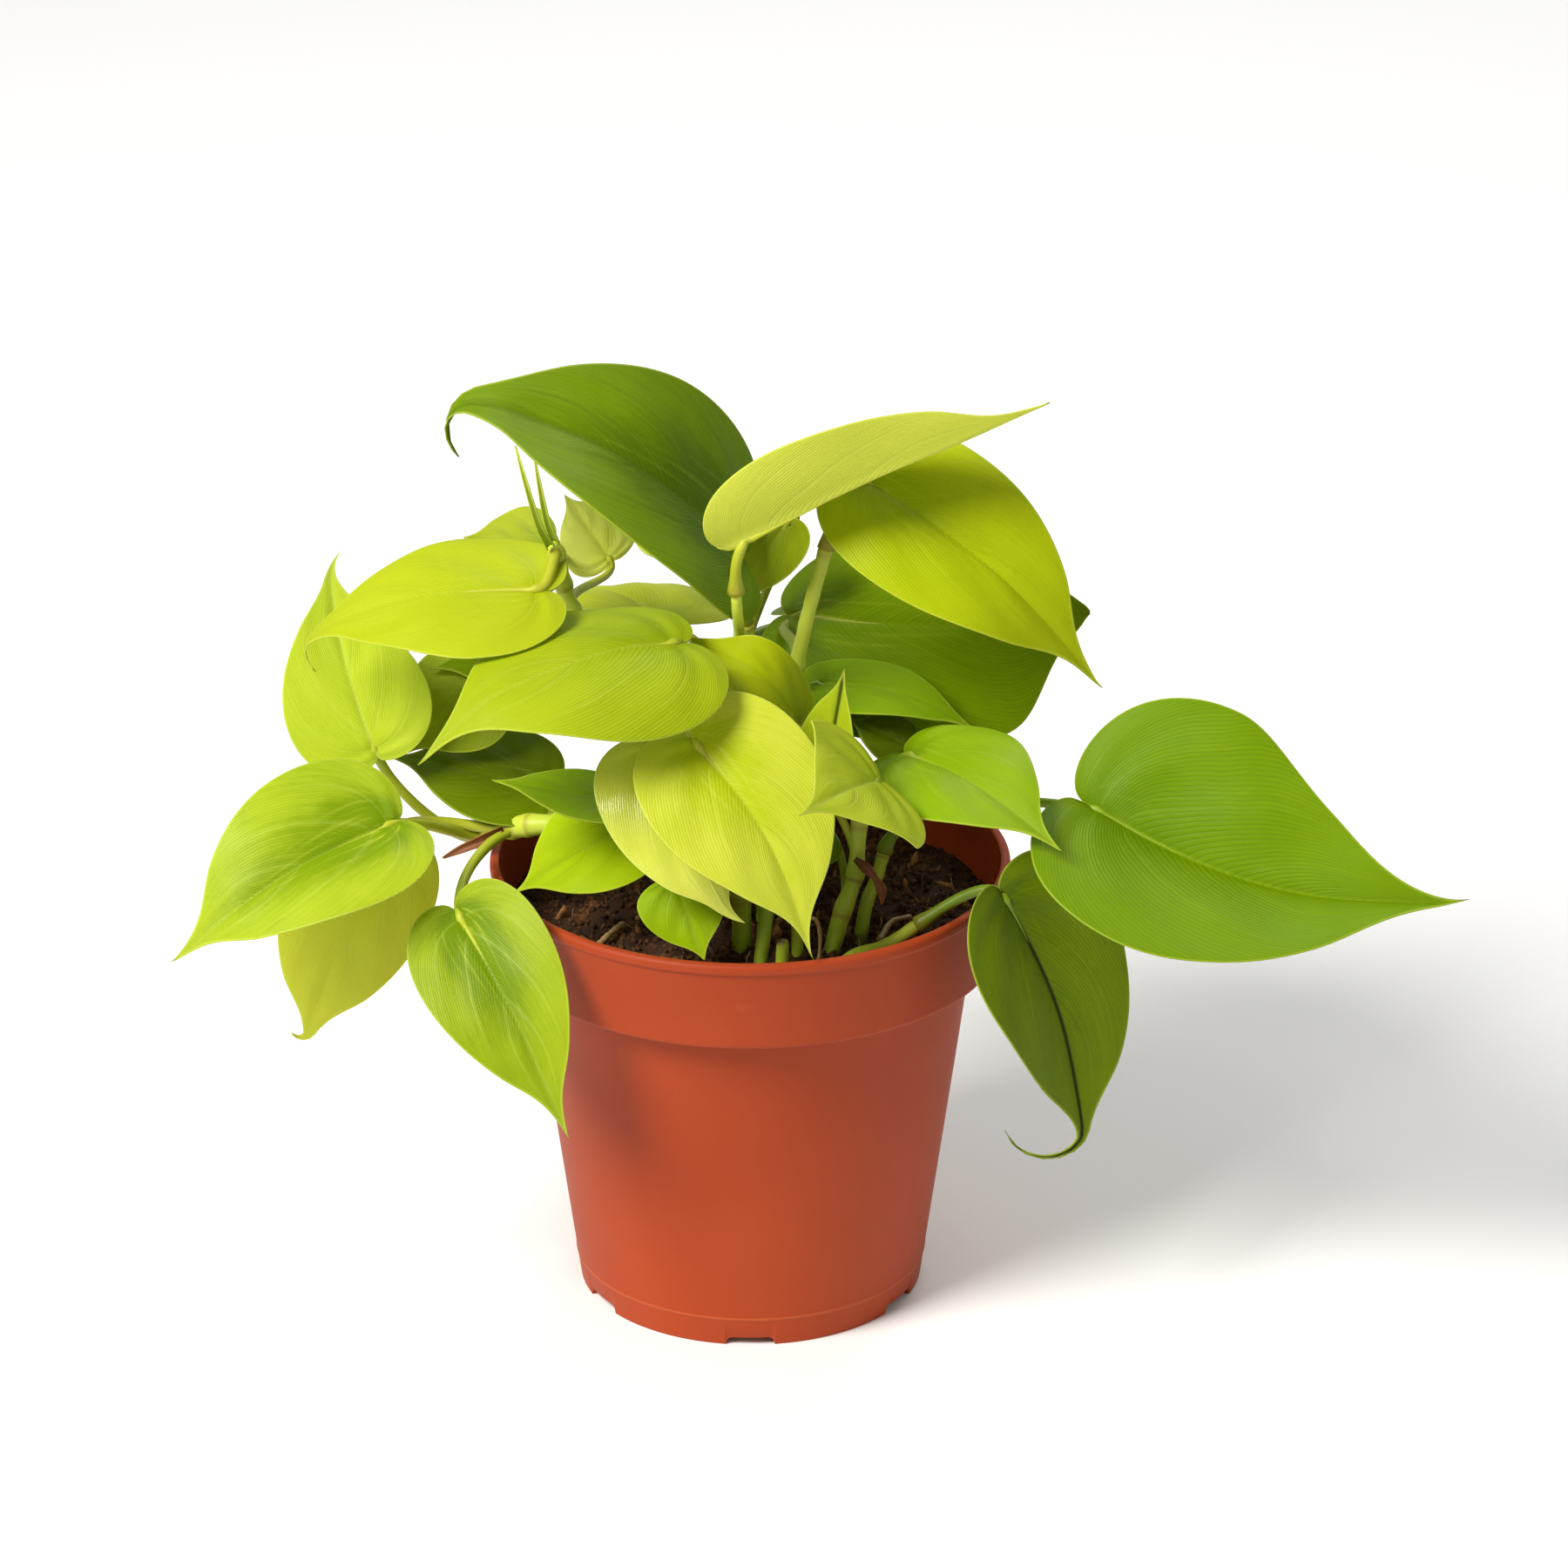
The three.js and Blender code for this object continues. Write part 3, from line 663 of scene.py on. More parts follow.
def makeMix():
    collar = rimRadius - pot["beadReach"] - pot["collarDraft"] * (potTop - mixTop) / pot["collarHeight"]
    radius = collar - mix["wall"] - mix["gap"] * 0.3
    turns, rings = mix["turns"], mix["rings"]
    circle = [2 * math.pi * j / turns for j in range(turns)]
    verts = [(0, 0, mixHeight(0, 0, radius))]
    for i in range(1, rings + 1):
        reach = radius * i / rings
        for angle in circle:
            x, y = reach * math.cos(angle), reach * math.sin(angle)
            verts.append((x, y, mixHeight(x, y, radius)))
    faces = [(0, 1 + j, 1 + (j + 1) % turns) for j in range(turns)] + ringFaces(0, rings - 1)
    ground = plainMesh("mixTop", verts, faces)
    clearGround = plainMesh("mixTopInside", verts, faces[:turns * mix["clearRings"]])
    low = [(radius, mix["skirt"])] + mix["body"]
    verts += [(r * math.cos(angle), r * math.sin(angle), z) for r, z in low for angle in circle]
    faces += ringFaces(rings - 1, rings - 1 + len(low))
    faces.append(tuple(range(len(verts) - 1, len(verts) - 1 - turns, -1)))
    skins = {name: mixFinish(name) for name in mix["skins"]}
    finishPiece(makePiece("pottingMix", verts, faces, [skins["pottingMix"]]), ["potting_mix"])
    tree = strewTree()
    for name, given in mix["strewn"].items():
        strew(name, tree, ground if name == "mixCrumbs" else clearGround, given, skins[given["skin"]])
    print("mix ready")


shoots = {
    "left": dict(root=(-10, -4), radius=2.4,
        points=((-14, -5, 90), (-26, -8, 99), (-38, -8, 103), (-47, -4, 101), (-54, 0, 97))),
    "upperLeft": dict(root=(-10, 8), radius=1.9,
        points=((-15, 6, 105), (-26, 2, 130), (-35, -4, 148), (-38.5, -5, 163))),
    "front": dict(root=(-2, -22), radius=2,
        points=((-2, -20, 94), (-8, -16, 112), (-13, -14, 130), (-14, -13, 143))),
    "slender": dict(root=(-4, -9), radius=1.3,
        points=((-1.5, -3, 113), (-1, -0.5, 131), (-1.8, -1, 139), (-2.4, -9, 150), (-2.6, -10.5, 155))),
    "inner": dict(root=(1, -29), radius=1.5,
        points=((3.4, -22, 91), (5, -15, 100), (6, -8, 112), (7, -7, 118))),
    "top": dict(root=(3, -6), radius=2, points=((3, 2, 110), (0, 5, 130), (-1, 3, 143))),
    "tall": dict(root=(10, 2), radius=1.7,
        points=((9, 4, 105), (8.5, 5, 125), (11, 4, 141), (15.5, 5, 159))),
    "right": dict(root=(14, -23), radius=1.8,
        points=((18, -20, 88), (21, -16, 96), (22, -14, 107), (25, -11, 114))),
    "low": dict(root=(21, -17), radius=1.5, points=((23, -14, 87), (25.5, -10, 93), (27, -8, 98))),
    "trailing": dict(root=(14, -31), radius=1.5,
        points=((19, -29.5, 83), (27, -28, 86), (34, -28, 91))),
    "back": dict(root=(-2, 16), radius=2, points=((0, 20, 100), (-2, 26, 115), (-2, 30, 127))),
}
stubs = {
    "stubFront": dict(node="stem_stub_front", foot=(6, -30.5, 72), top=(6.6, -30, 88), radius=1.3),
    "stubMiddle": dict(node="stem_stub_middle", foot=(9.5, -24, 72), top=(9.5, -23, 92), radius=1.2),
}
stem = {
    "rootHeight": 72, "tipShare": 0.82, "nodeSwell": 0.22, "nodeLength": 2.2, "sides": 14, "pitch": 0.9,
    "ringBelow": 1.4, "ringLength": 0.55, "ripple": 0.03, "stubPoints": 18, "soilAbove": 2.5,
    "end": (0.97, 0.88, 0.68, 0.35), "stubEnd": (0.96, 0.8),
    "young": (192, 202, 62), "old": (150, 176, 40), "ring": (140, 108, 40), "dried": (58, 40, 22),
}


def stemFinish(name, young, old):
    skin = Finish(name)
    along, ring, scar = skin.attribute("stemPlace")
    streak = skin.noise(260, 4, 0.6)
    broad = skin.noise(60, 3)
    green = skin.blend(old, young, (along * 0.8 + broad * 0.5 - 0.15).step(0.0, 1.0))
    flecked = skin.blend(green, dimmed(old, 0.72), streak.step(0.58, 0.75) * 0.35)
    ringed = skin.blend(flecked, stem["ring"], ring * 0.65)
    soiled = skin.blend(ringed, stem["dried"], scar * streak.step(0.3, 0.7))
    return skin.close(skin.skin({
        "Base Color": soiled, "Roughness": 0.36 + 0.16 * streak, "Specular IOR Level": 0.35,
        "Subsurface Weight": 0.15, "Subsurface Radius": (0.8, 1.0, 0.3), "Subsurface Scale": 0.0015,
        "Normal": skin.bump(streak + skin.noise(1500, 2) * 0.4, 0.25, 0.0002)}))


def stemRail(name):
    given = shoots[name]
    return Rail([(*given["root"], stem["rootHeight"]), *given["points"]])


def makeStems(rails):
    skin = stemFinish("greenStem", stem["young"], stem["old"])
    sides = stem["sides"]
    for name, given in shoots.items():
        title = name[0].upper() + name[1:]
        node = nodeName("shoot" + title)
        rail = rails[name]
        length = np.linalg.norm(np.diff(rail.line(60), axis=0), axis=1).sum()
        count = int(length / stem["pitch"])
        places = np.linspace(0, 1, count)
        radii = given["radius"] * (1 + (stem["tipShare"] - 1) * places)
        ring = np.zeros(count)
        for at in [leaf["at"] for leaf in leaves.values() if leaf["shoot"] == name]:
            away = (places - at) * length
            radii *= 1 + stem["nodeSwell"] * np.exp(-(away / stem["nodeLength"]) ** 2)
            below = (places - at + stem["ringBelow"] / length) * length
            ring = np.maximum(ring, np.exp(-(below / stem["ringLength"]) ** 2))
        start = len(node) - len("shoot_")  # each shoot ripples from its own place
        radii *= 1 + stem["ripple"] * np.sin(places * length * 0.9 + start)
        radii[-4:] *= np.array(stem["end"])
        verts, faces, along = tubeShape(rail.line(count), radii, sides)
        rings = np.concatenate([np.repeat(ring, sides), [0, 0]])
        low = np.clip((mixTop + stem["soilAbove"] - verts[:, 2]) / 3, 0, 1)
        finishPiece(makePiece("stem" + title, verts, faces, [skin], values=stemPlace(along, rings, low)),
                    [node])
    for name, given in stubs.items():
        radii = np.full(stem["stubPoints"], given["radius"])
        radii[-2:] *= stem["stubEnd"]
        verts, faces, along = tubeShape(
            np.linspace(given["foot"], given["top"], stem["stubPoints"]), radii, sides)
        scar = np.clip((along - 0.93) / 0.07, 0, 1)
        finishPiece(makePiece(name, verts, faces, [skin], values=stemPlace(along * 0.4, scar, scar)),
                    [given["node"]])
    print("stems ready")


# light and deep are the two greens of the upper side, under the lower side, vein the midrib and
# its side veins, stalk the petiole, glow what light coming through it looks like
tones = {
    "deep": dict(light=(112, 142, 2), deep=(86, 116, 0), under=(134, 160, 30), vein=(96, 126, 0),
        stalk=(150, 165, 20), glow=(90, 130, 2), slot="dark_leaf"),
    "shade": dict(light=(126, 156, 2), deep=(98, 124, 0), under=(124, 146, 30), vein=(126, 150, 10),
        stalk=(134, 148, 24), glow=(80, 120, 2), slot="dark_leaf"),
    "mid": dict(light=(112, 132, 2), deep=(92, 112, 0), under=(140, 160, 40), vein=(126, 150, 20),
        stalk=(126, 152, 20), glow=(100, 140, 3), slot="green_leaf"),
    "leafy": dict(light=(130, 162, 0), deep=(112, 146, 0), under=(160, 180, 50), vein=(150, 180, 20),
        stalk=(130, 158, 20), glow=(130, 170, 3), slot="green_leaf"),
    "fresh": dict(light=(156, 186, 2), deep=(134, 166, 0), under=(170, 188, 60), vein=(170, 192, 40),
        stalk=(146, 166, 26), glow=(150, 190, 5), slot="green_leaf"),
    "olive": dict(light=(154, 168, 10), deep=(126, 142, 0), under=(164, 176, 40), vein=(164, 176, 30),
        stalk=(150, 160, 28), glow=(160, 175, 6), slot="green_leaf"),
    "yellowLime": dict(light=(186, 198, 8), deep=(156, 172, 0), under=(205, 212, 70),
        vein=(170, 184, 6), stalk=(172, 172, 36), glow=(190, 205, 4), slot="lime_leaf"),
    "lime": dict(light=(196, 206, 44), deep=(176, 190, 14), under=(210, 216, 90), vein=(208, 216, 76),
        stalk=(180, 184, 44), glow=(200, 210, 14), slot="lime_leaf"),
    "limeSoft": dict(light=(184, 200, 36), deep=(150, 172, 4), under=(205, 216, 96),
        vein=(206, 220, 100), stalk=(168, 178, 38), glow=(180, 205, 12), slot="lime_leaf"),
    "limeDeep": dict(light=(180, 196, 28), deep=(146, 166, 0), under=(200, 212, 90),
        vein=(208, 220, 104), stalk=(168, 178, 38), glow=(170, 195, 8), slot="lime_leaf"),
    "paleUnder": dict(light=(196, 206, 50), deep=(180, 194, 30), under=(206, 214, 74),
        vein=(214, 220, 100), stalk=(184, 190, 44), glow=(205, 215, 30), slot="lime_leaf"),
}

# A leaf runs from the notch between its lobes to its tip, in mm. faces is the way its upper side
# looks: a turn from the front and a rise above level. fold and cup lift the left half, foldRight
# and cupRight the right one; bow, side, hook and sway bend the midrib. own changes its finish.
leaves = {
    "leafTopLeft": dict(shoot="top", at=0.98, tone="deep", base=(-2, 17, 152), tip=(-60, 3, 192),
        faces=(10, 50), width=51, bow=10, hook=-9, curlFrom=0.82, fold=28, foldRight=0, cup=-10,
        pinch=0.05, tail=dict(start=0.9, turn=100, toward=(0.15, 0, -1)), own=dict(light=(130, 160, 4),
        deep=(90, 124, 0), centre=0.8, midrib=0.6, midribWidth=1.8, side=0.4, highlightStreaks=0.7)),
    "leafTopFolded": dict(shoot="slender", at=0.98, tone="paleUnder", base=(-3, -13, 165.5),
        tip=(57, -10, 193.5), faces=(180, 60), width=32, bow=1, fold=35, cup=15, pinch=0.5,
        own=dict(light=(212, 218, 66), deep=(200, 210, 46), under=(216, 222, 80))),
    "leafTopRight": dict(shoot="tall", at=0.98, tone="yellowLime", base=(21, 8, 172), tip=(69, -5, 133),
        faces=(20, 40), width=35, bow=8, fold=15, foldRight=5, cup=-15, taper=0.1,
        own=dict(light=(182, 196, 6), deep=(156, 172, 0), midrib=0.3, centre=0.5, side=0.1)),
    "leafUpperRightShaded": dict(shoot="tall", at=0.62, tone="shade", base=(8, 33, 132),
        tip=(67.5, 30, 133.5), faces=(0, 75), width=56, side=4, cup=-10, taper=0.75, full=0.75,
        twist=50, own=dict(side=0.2, light=(128, 158, 2), deep=(104, 132, 0), shine=0.05)),
    "leafRightEdgeOn": dict(shoot="tall", at=0.45, tone="leafy", base=(12, 9, 126.6),
        tip=(46, 6, 117.1), faces=(0, 80), width=20, bow=4, taper=0.1, own=dict(light=(136, 170, 0),
        deep=(120, 154, 0), gloss=0.5, shine=0.05)),
    "leafRightInner": dict(shoot="right", at=0.97, tone="fresh", base=(31, -5, 117.5),
        tip=(60.5, -37, 111.2), faces=(10, 50), width=32, bow=4, cup=-30, foldRight=22, fold=5,
        taper=0.1, groove=0.2, own=dict(light=(148, 180, 2), deep=(130, 164, 0), midrib=0.1)),
    "leafFarRight": dict(shoot="low", at=0.95, tone="leafy", base=(66, -16, 112), tip=(142, -36, 99),
        faces=(0, 30), width=61, side=7, cup=-11, fold=6, foldRight=47, taper=0.05, full=0.5, drip=0,
        pinch=0.34, tail=dict(start=0.9, turn=12, toward=(0, 0, 1)), own=dict(light=(126, 160, 0),
        deep=(106, 142, 0), tipBrown=0.8, highlightStreaks=0.2, centre=0.3, side=0.08, lines=0.5)),
    "leafHangingRight": dict(shoot="trailing", at=0.97, tone="mid", base=(49.5, -31, 99.5),
        tip=(67, -36, 42), faces=(28, 5), width=39, side=-4, foldRight=30, fold=0, sway=8, curlFrom=0.9,
        taper=0.1, pinch=0.45, drip=0.05, tail=dict(start=0.87, turn=60, toward=(-1, 0, 0.1)),
        own=dict(light=(126, 150, 2), deep=(96, 118, 0), creaseShade=0.95, highlightStreaks=0.2)),
    "leafFrontFacing": dict(shoot="right", at=0.75, tone="limeDeep", base=(25.5, -30, 122.6),
        tip=(10, -56.3, 127), faces=(68, 53), width=33, bow=2, fold=0, foldRight=5, lobe=0.16, taper=0,
        full=0.3, stalk=(0, 0.4), own=dict(light=(204, 218, 50), deep=(180, 196, 20), spot=0.9,
        spotColour=(205, 150, 60))),
    "leafUnrolling": dict(shoot="right", at=0.5, tone="limeDeep", base=(15, -16, 114),
        tip=(18.5, -14, 139), faces=(-50, 10), width=15, fold=30, foldRight=5, own=dict(creaseShade=0.9)),
    "leafCentreArched": dict(shoot="inner", at=0.97, tone="yellowLime", base=(10, -9, 124),
        tip=(-11, -10, 144), faces=(50, 20), width=16, bow=7, taper=0.9),
    "leafFrontCentre": dict(shoot="front", at=0.8, tone="lime", base=(-11, -32, 132), tip=(12, -51, 95),
        faces=(5, 30), width=36, bow=4, side=-3, foldRight=15, fold=0, cup=-10, taper=0.02, lobe=0.17,
        own=dict(centre=0.6, midrib=0.1, light=(214, 220, 70), deep=(184, 199, 16), highlightStreaks=0.8,
        lines=0.12)),
    # its pale light and deep greens are partly the leaf's own lime and partly a painted highlight of its
    # glossy face
    "leafFrontLeftGlossy": dict(shoot="front", at=0.55, tone="limeSoft", base=(-20, -24, 128),
        tip=(-3, -40, 96), faces=(-15, 25), width=28, bow=3, fold=-45, foldRight=15,
        tail=dict(start=0.86, turn=35, toward=(0.8, -0.2, -0.4)), own=dict(gloss=0.16, shine=0.8,
        light=(236, 238, 96), deep=(210, 220, 40), highlightStreaks=0.2)),
    "leafMidLeft": dict(shoot="front", at=0.98, tone="limeDeep", base=(-13, -20, 148),
        tip=(-63, -46, 137.5), faces=(-5, 72), width=44, bow=6, cup=-35, cupRight=-25, hook=-4,
        taper=0.1, groove=0.16, lobe=0.14, own=dict(midrib=0.1, side=0.08, highlightStreaks=0.4, lines=0.5,
        centre=0.2)),
    "leafUpperLeft": dict(shoot="upperLeft", at=0.95, tone="lime", base=(-39.8, -14, 156.7),
        tip=(-92, -10, 143.4), faces=(0, 70), width=37, bow=5, cup=-5, cupRight=-15, hook=-4,
        taper=0.05, full=0.5, lobe=0.12, tail=dict(start=0.9, turn=85, toward=(0.2, 0, -1)),
        groove=0.14, own=dict(light=(188, 200, 30), deep=(174, 188, 10), side=0.06, midrib=0.1,
        centre=0.2)),
    "leafLeftUpright": dict(shoot="left", at=0.99, tone="limeSoft", base=(-74.5, -1, 115),
        tip=(-84, 8, 155.5), faces=(0, 15), width=30, fold=8, bow=-2, side=-2, full=0.55, taper=0,
        lobe=0.07, tail=dict(start=0.85, turn=40, toward=(0.6, 0, 0.3)), own=dict(light=(200, 216, 56),
        deep=(178, 196, 24), midrib=0.3, side=0.1, centre=0.2)),
    "leafFarLeft": dict(shoot="left", at=0.93, tone="limeSoft", base=(-70, -17, 108),
        tip=(-113, -34, 86), faces=(-15, 45), width=38, bow=6, fold=25, foldRight=15, cup=-10,
        taper=0.15, own=dict(centre=0.9, highlightStreaks=1, shine=0.2, light=(186, 202, 40), deep=(124, 152, 0),
        midrib=0.1)),
    "leafHangingLeft": dict(shoot="left", at=0.82, tone="lime", base=(-73, -8, 101), tip=(-90, -12, 56),
        faces=(10, 25), width=30, side=1, bow=4, tail=dict(start=0.93, turn=110, toward=(-1, 0, 0.3)),
        own=dict(centre=0.2, midrib=0.1, light=(208, 214, 60), deep=(198, 204, 40))),
    "leafHangingFront": dict(shoot="left", at=0.74, tone="limeDeep", base=(-58, -30, 94.5),
        tip=(-36, -54, 57.5), faces=(-15, 25), width=29, bow=4, side=-2, fold=5, foldRight=20,
        taper=0.1, pinch=0.3, own=dict(centre=0.9, highlightStreaks=1, shine=0.2, light=(168, 186, 24),
        deep=(114, 142, 0), midrib=0.1)),
    "leafLeftInner": dict(shoot="left", at=0.6, tone="shade", base=(-40, 3, 107), tip=(-72, 8, 111),
        faces=(0, 60), width=24, own=dict(light=(112, 134, 2), deep=(84, 104, 0), shine=0.05)),
    "leafLeftOlive": dict(shoot="upperLeft", at=0.5, tone="olive", base=(-54, 13, 126),
        tip=(-69, 6, 113), faces=(0, 50), width=24),
    "leafLeftShaded": dict(shoot="upperLeft", at=0.6, tone="shade", base=(-38, 16, 133),
        tip=(-64, 14, 128), faces=(0, 50), width=16, own=dict(shine=0.05)),
    "leafUpperLeftBack": dict(shoot="upperLeft", at=0.85, tone="olive", base=(-40, 20, 152),
        tip=(-57, 20, 154), faces=(0, 75), width=24, own=dict(light=(190, 204, 40),
        deep=(160, 176, 8))),
    "leafSmallPale": dict(shoot="upperLeft", at=0.75, tone="lime", base=(-28, 20, 149),
        tip=(-37, 22, 162), faces=(0, 40), width=16, own=dict(light=(226, 232, 110),
        deep=(214, 222, 80))),
    "leafLowLeft": dict(shoot="front", at=0.35, tone="leafy", base=(-24, -22, 114.5),
        tip=(-50, -24, 120), faces=(0, 75), width=16, own=dict(light=(150, 182, 4),
        deep=(128, 160, 0))),
    "leafLowLeftRim": dict(shoot="left", at=0.3, tone="fresh", base=(-22, -12, 107),
        tip=(-47, -22, 94.5), faces=(-10, 50), width=24, taper=0.02, own=dict(light=(188, 214, 6),
        deep=(168, 198, 0))),
    "leafLowFront": dict(shoot="front", at=0.25, tone="fresh", base=(-15, -28, 101), tip=(-9, -36, 87),
        faces=(0, 30), width=18, lobe=0.04, pinch=0.2, own=dict(light=(170, 202, 4), deep=(150, 184, 0),
        highlightStreaks=0.3)),
    "leafLowShaded": dict(shoot="right", at=0.3, tone="shade", base=(15, -9, 102), tip=(10, -14, 97),
        faces=(0, 30), width=11),
    "leafTopBack": dict(shoot="back", at=0.8, tone="olive", base=(8, 28, 154.5), tip=(-5, 24, 137.5),
        faces=(0, 30), width=14),
    "leafSmallRight": dict(shoot="right", at=0.9, tone="mid", base=(32, 2, 116), tip=(20, 4, 121),
        faces=(0, 60), width=12),
    "leafBackRight": dict(shoot="back", at=0.9, tone="leafy", base=(14, 48, 126), tip=(54, 80, 108),
        faces=(150, 55), width=42, bow=6, cup=-15),
    "leafBackLeft": dict(shoot="back", at=0.7, tone="lime", base=(-16, 36, 129), tip=(-48, 74, 115),
        faces=(210, 55), width=42, bow=6, cup=-15),
    "leafBackHigh": dict(shoot="back", at=0.97, tone="limeSoft", base=(-8, 43, 146), tip=(-20, 73, 163),
        faces=(190, -10), width=30, bow=4, fold=10, pinch=0.1, drip=0),
    "leafBackLow": dict(shoot="back", at=0.45, tone="mid", base=(-2, 44, 111), tip=(4, 72, 79),
        faces=(175, 30), width=34, bow=5, cup=-10),
}
leafForm = {  # for a leaf whose row doesn't say
    "bow": 0, "hook": 0, "curlFrom": 0.7, "side": 0, "sway": 0, "twist": 0, "fold": 0, "cup": 0,
    "lobe": 0.1, "taper": 0.22, "full": 0.62, "pinch": 0.36, "drip": 0.03, "groove": 0.3,
    "stalk": (0.3, 0.2), "own": {},
}
leafLook = {
    # the pale streaks that this table sets near the midrib are a painted highlight
    "midribWidth": 0.8, "centre": 0.4, "highlightStreaks": 0.6, "lines": 0.35, "side": 0.16, "midrib": 0.25,
    # the dark crease line that this table sets along the midrib is painted shade
    "creaseShade": 0.0, "tipBrown": 0.3, "spot": 0.3, "spotColour": (212, 208, 110), "gloss": 0.34,
    "shine": 0.14, "creaseShadeColour": (34, 42, 6), "tipColour": (126, 104, 30),
    "highlightColour": (250, 250, 120), "rimColour": (220, 228, 110),
}
blade = {
    "thickness": 0.42, "edgeThickness": 0.26, "rows": 64, "first": 0.018, "last": 0.996,
    "columns": (0, 0.02, 0.045, 0.075, 0.11, 0.16, 0.22, 0.3, 0.39, 0.48, 0.58, 0.68, 0.78, 0.87,
                0.94, 0.98, 1),
    "widest": 0.45, "grooveWidth": 0.8, "rib": 0.42, "ribWidth": 0.9, "veinDepth": 0.08, "quilt": 0.42,
    "veinCount": 5, "veinShift": 0.35, "wave": 0.55, "pinchFrom": 0.72, "pinchTo": 0.93,
    "dripFrom": 0.78, "through": 0.3,
}
stalk = {
    "radius": 1.25, "sides": 12, "smallLeaf": 25, "smallShare": 0.78, "into": 0.42,
    "run": (0.06, 0.09, 0.13, 0.18, 0.25, 0.33), "runShare": (0.78, 0.62, 0.5, 0.4, 0.3, 0.2),
}


def outline(u, lobe, taper, full):
    # half of a heart: along is 0 at the notch and 1 at the tip, across is in half widths
    widest = blade["widest"]
    t = np.clip(u / widest, 0, 1)
    s = np.clip((u - widest) / (1 - widest), 0, 1)
    near = u < widest
    along = np.where(near, bezier(t, 0, -lobe, -lobe, 0.25), bezier(s, 0.25, full, 0.82, 1))
    across = np.where(near, bezier(t, 0, 0.05, 1, 1), bezier(s, 1, 1, taper, 0))
    return along, across


def veinFoot(u):
    # where on the midrib the vein to that point of the edge starts
    widest = blade["widest"]
    return np.where(u < widest, 0.12 * (np.clip(u, 0, 1) / widest) ** 1.5,
                    0.12 + 0.88 * np.clip((u - widest) / (1 - widest), 0, 1))


def smooth(x, start, end):
    t = np.clip((x - start) / (end - start), 0, 1)
    return t * t * (3 - 2 * t)


def facing(turn, rise):
    a, e = math.radians(turn), math.radians(rise)
    return np.array([math.sin(a) * math.cos(e), -math.cos(a) * math.cos(e), math.sin(e)])


class Blade:
    # the bent and folded surface that a leaf lies on
    def __init__(self, given):
        self.given = given
        self.base = np.array(given["base"], float)
        self.chord = np.array(given["tip"], float) - self.base
        along = unit(self.chord)
        up = facing(*given["faces"])
        self.up = unit(up - along * up.dot(along))
        self.right = np.cross(along, self.up)

    def midrib(self, along):
        given = self.given
        along = np.asarray(along, float)[..., None]
        arch = np.where(along < 0, np.pi * along, np.sin(np.pi * np.clip(along, 0, 1)))
        curl = np.clip((along - given["curlFrom"]) / (1 - given["curlFrom"]), 0, None) ** 2
        return (self.base + self.chord * along
                + self.up * (given["bow"] * arch + given["hook"] * curl)
                + self.right * (given["side"] * arch + given["sway"] * curl))

    def surface(self, along, across):
        # points of the blade and the way its upper side looks there
        given = self.given
        half = given["width"] / 2
        step = 1e-3
        ahead = unit(self.midrib(along + step) - self.midrib(along - step))
        turn = math.radians(given["twist"]) * along[..., None]
        up = self.up * np.cos(turn) + self.right * np.sin(turn)
        up = unit(up - ahead * (up * ahead).sum(-1, keepdims=True))
        right = np.cross(ahead, up)
        onRight = across > 0
        rise = np.radians(np.where(onRight, given["foldRight"], given["fold"]))
        bend = np.radians(np.where(onRight, given["cupRight"], given["cup"])) / half
        bend = np.where(np.abs(bend) < 1e-6, 1e-6, bend)
        reach = np.abs(across) * half
        slope = rise + bend * reach
        side = np.sign(across)
        point = (self.midrib(along) + right * (side * (np.sin(slope) - np.sin(rise)) / bend)[..., None]
                 + up * ((np.cos(rise) - np.cos(slope)) / bend)[..., None])
        tilt = slope * np.clip(reach / 1.2, 0, 1)
        normal = up * np.cos(tilt)[..., None] - right * (side * np.sin(tilt))[..., None]
        return point, normal


def curlTail(point, normal, u, leaf, tail):
    # rolls the drip tip towards a direction, like a bend along the end of the midrib
    start, end = leaf.midrib(tail["start"]), leaf.midrib(1.0)
    ahead = unit(end - leaf.midrib(tail["start"] - 0.02))
    aside = np.array(tail["toward"], float)
    aside = unit(aside - ahead * aside.dot(ahead))
    rate = math.radians(tail["turn"]) / (np.linalg.norm(end - start) * (1 + leafForm["drip"]))
    local = point - start
    run, lift = np.clip(local @ ahead, 0, None), local @ aside
    angle = rate * run
    ease = angle * (u >= tail["start"] - 0.03)[:, None]
    bent = (start + ahead * ((1 / rate - lift) * np.sin(ease) + (local @ ahead - run))[..., None]
            + aside * ((1 / rate) * (1 - np.cos(ease)) + lift * np.cos(ease))[..., None]
            + (local - ahead * (local @ ahead)[..., None] - aside * lift[..., None]))
    bent = np.where((ease > 0)[..., None], bent, point)
    front, side = (normal @ ahead)[..., None], (normal @ aside)[..., None]
    cos, sin = np.cos(ease)[..., None], np.sin(ease)[..., None]
    turned = (normal - ahead * front - aside * side
              + ahead * (front * cos - side * sin) + aside * (front * sin + side * cos))
    return bent, turned


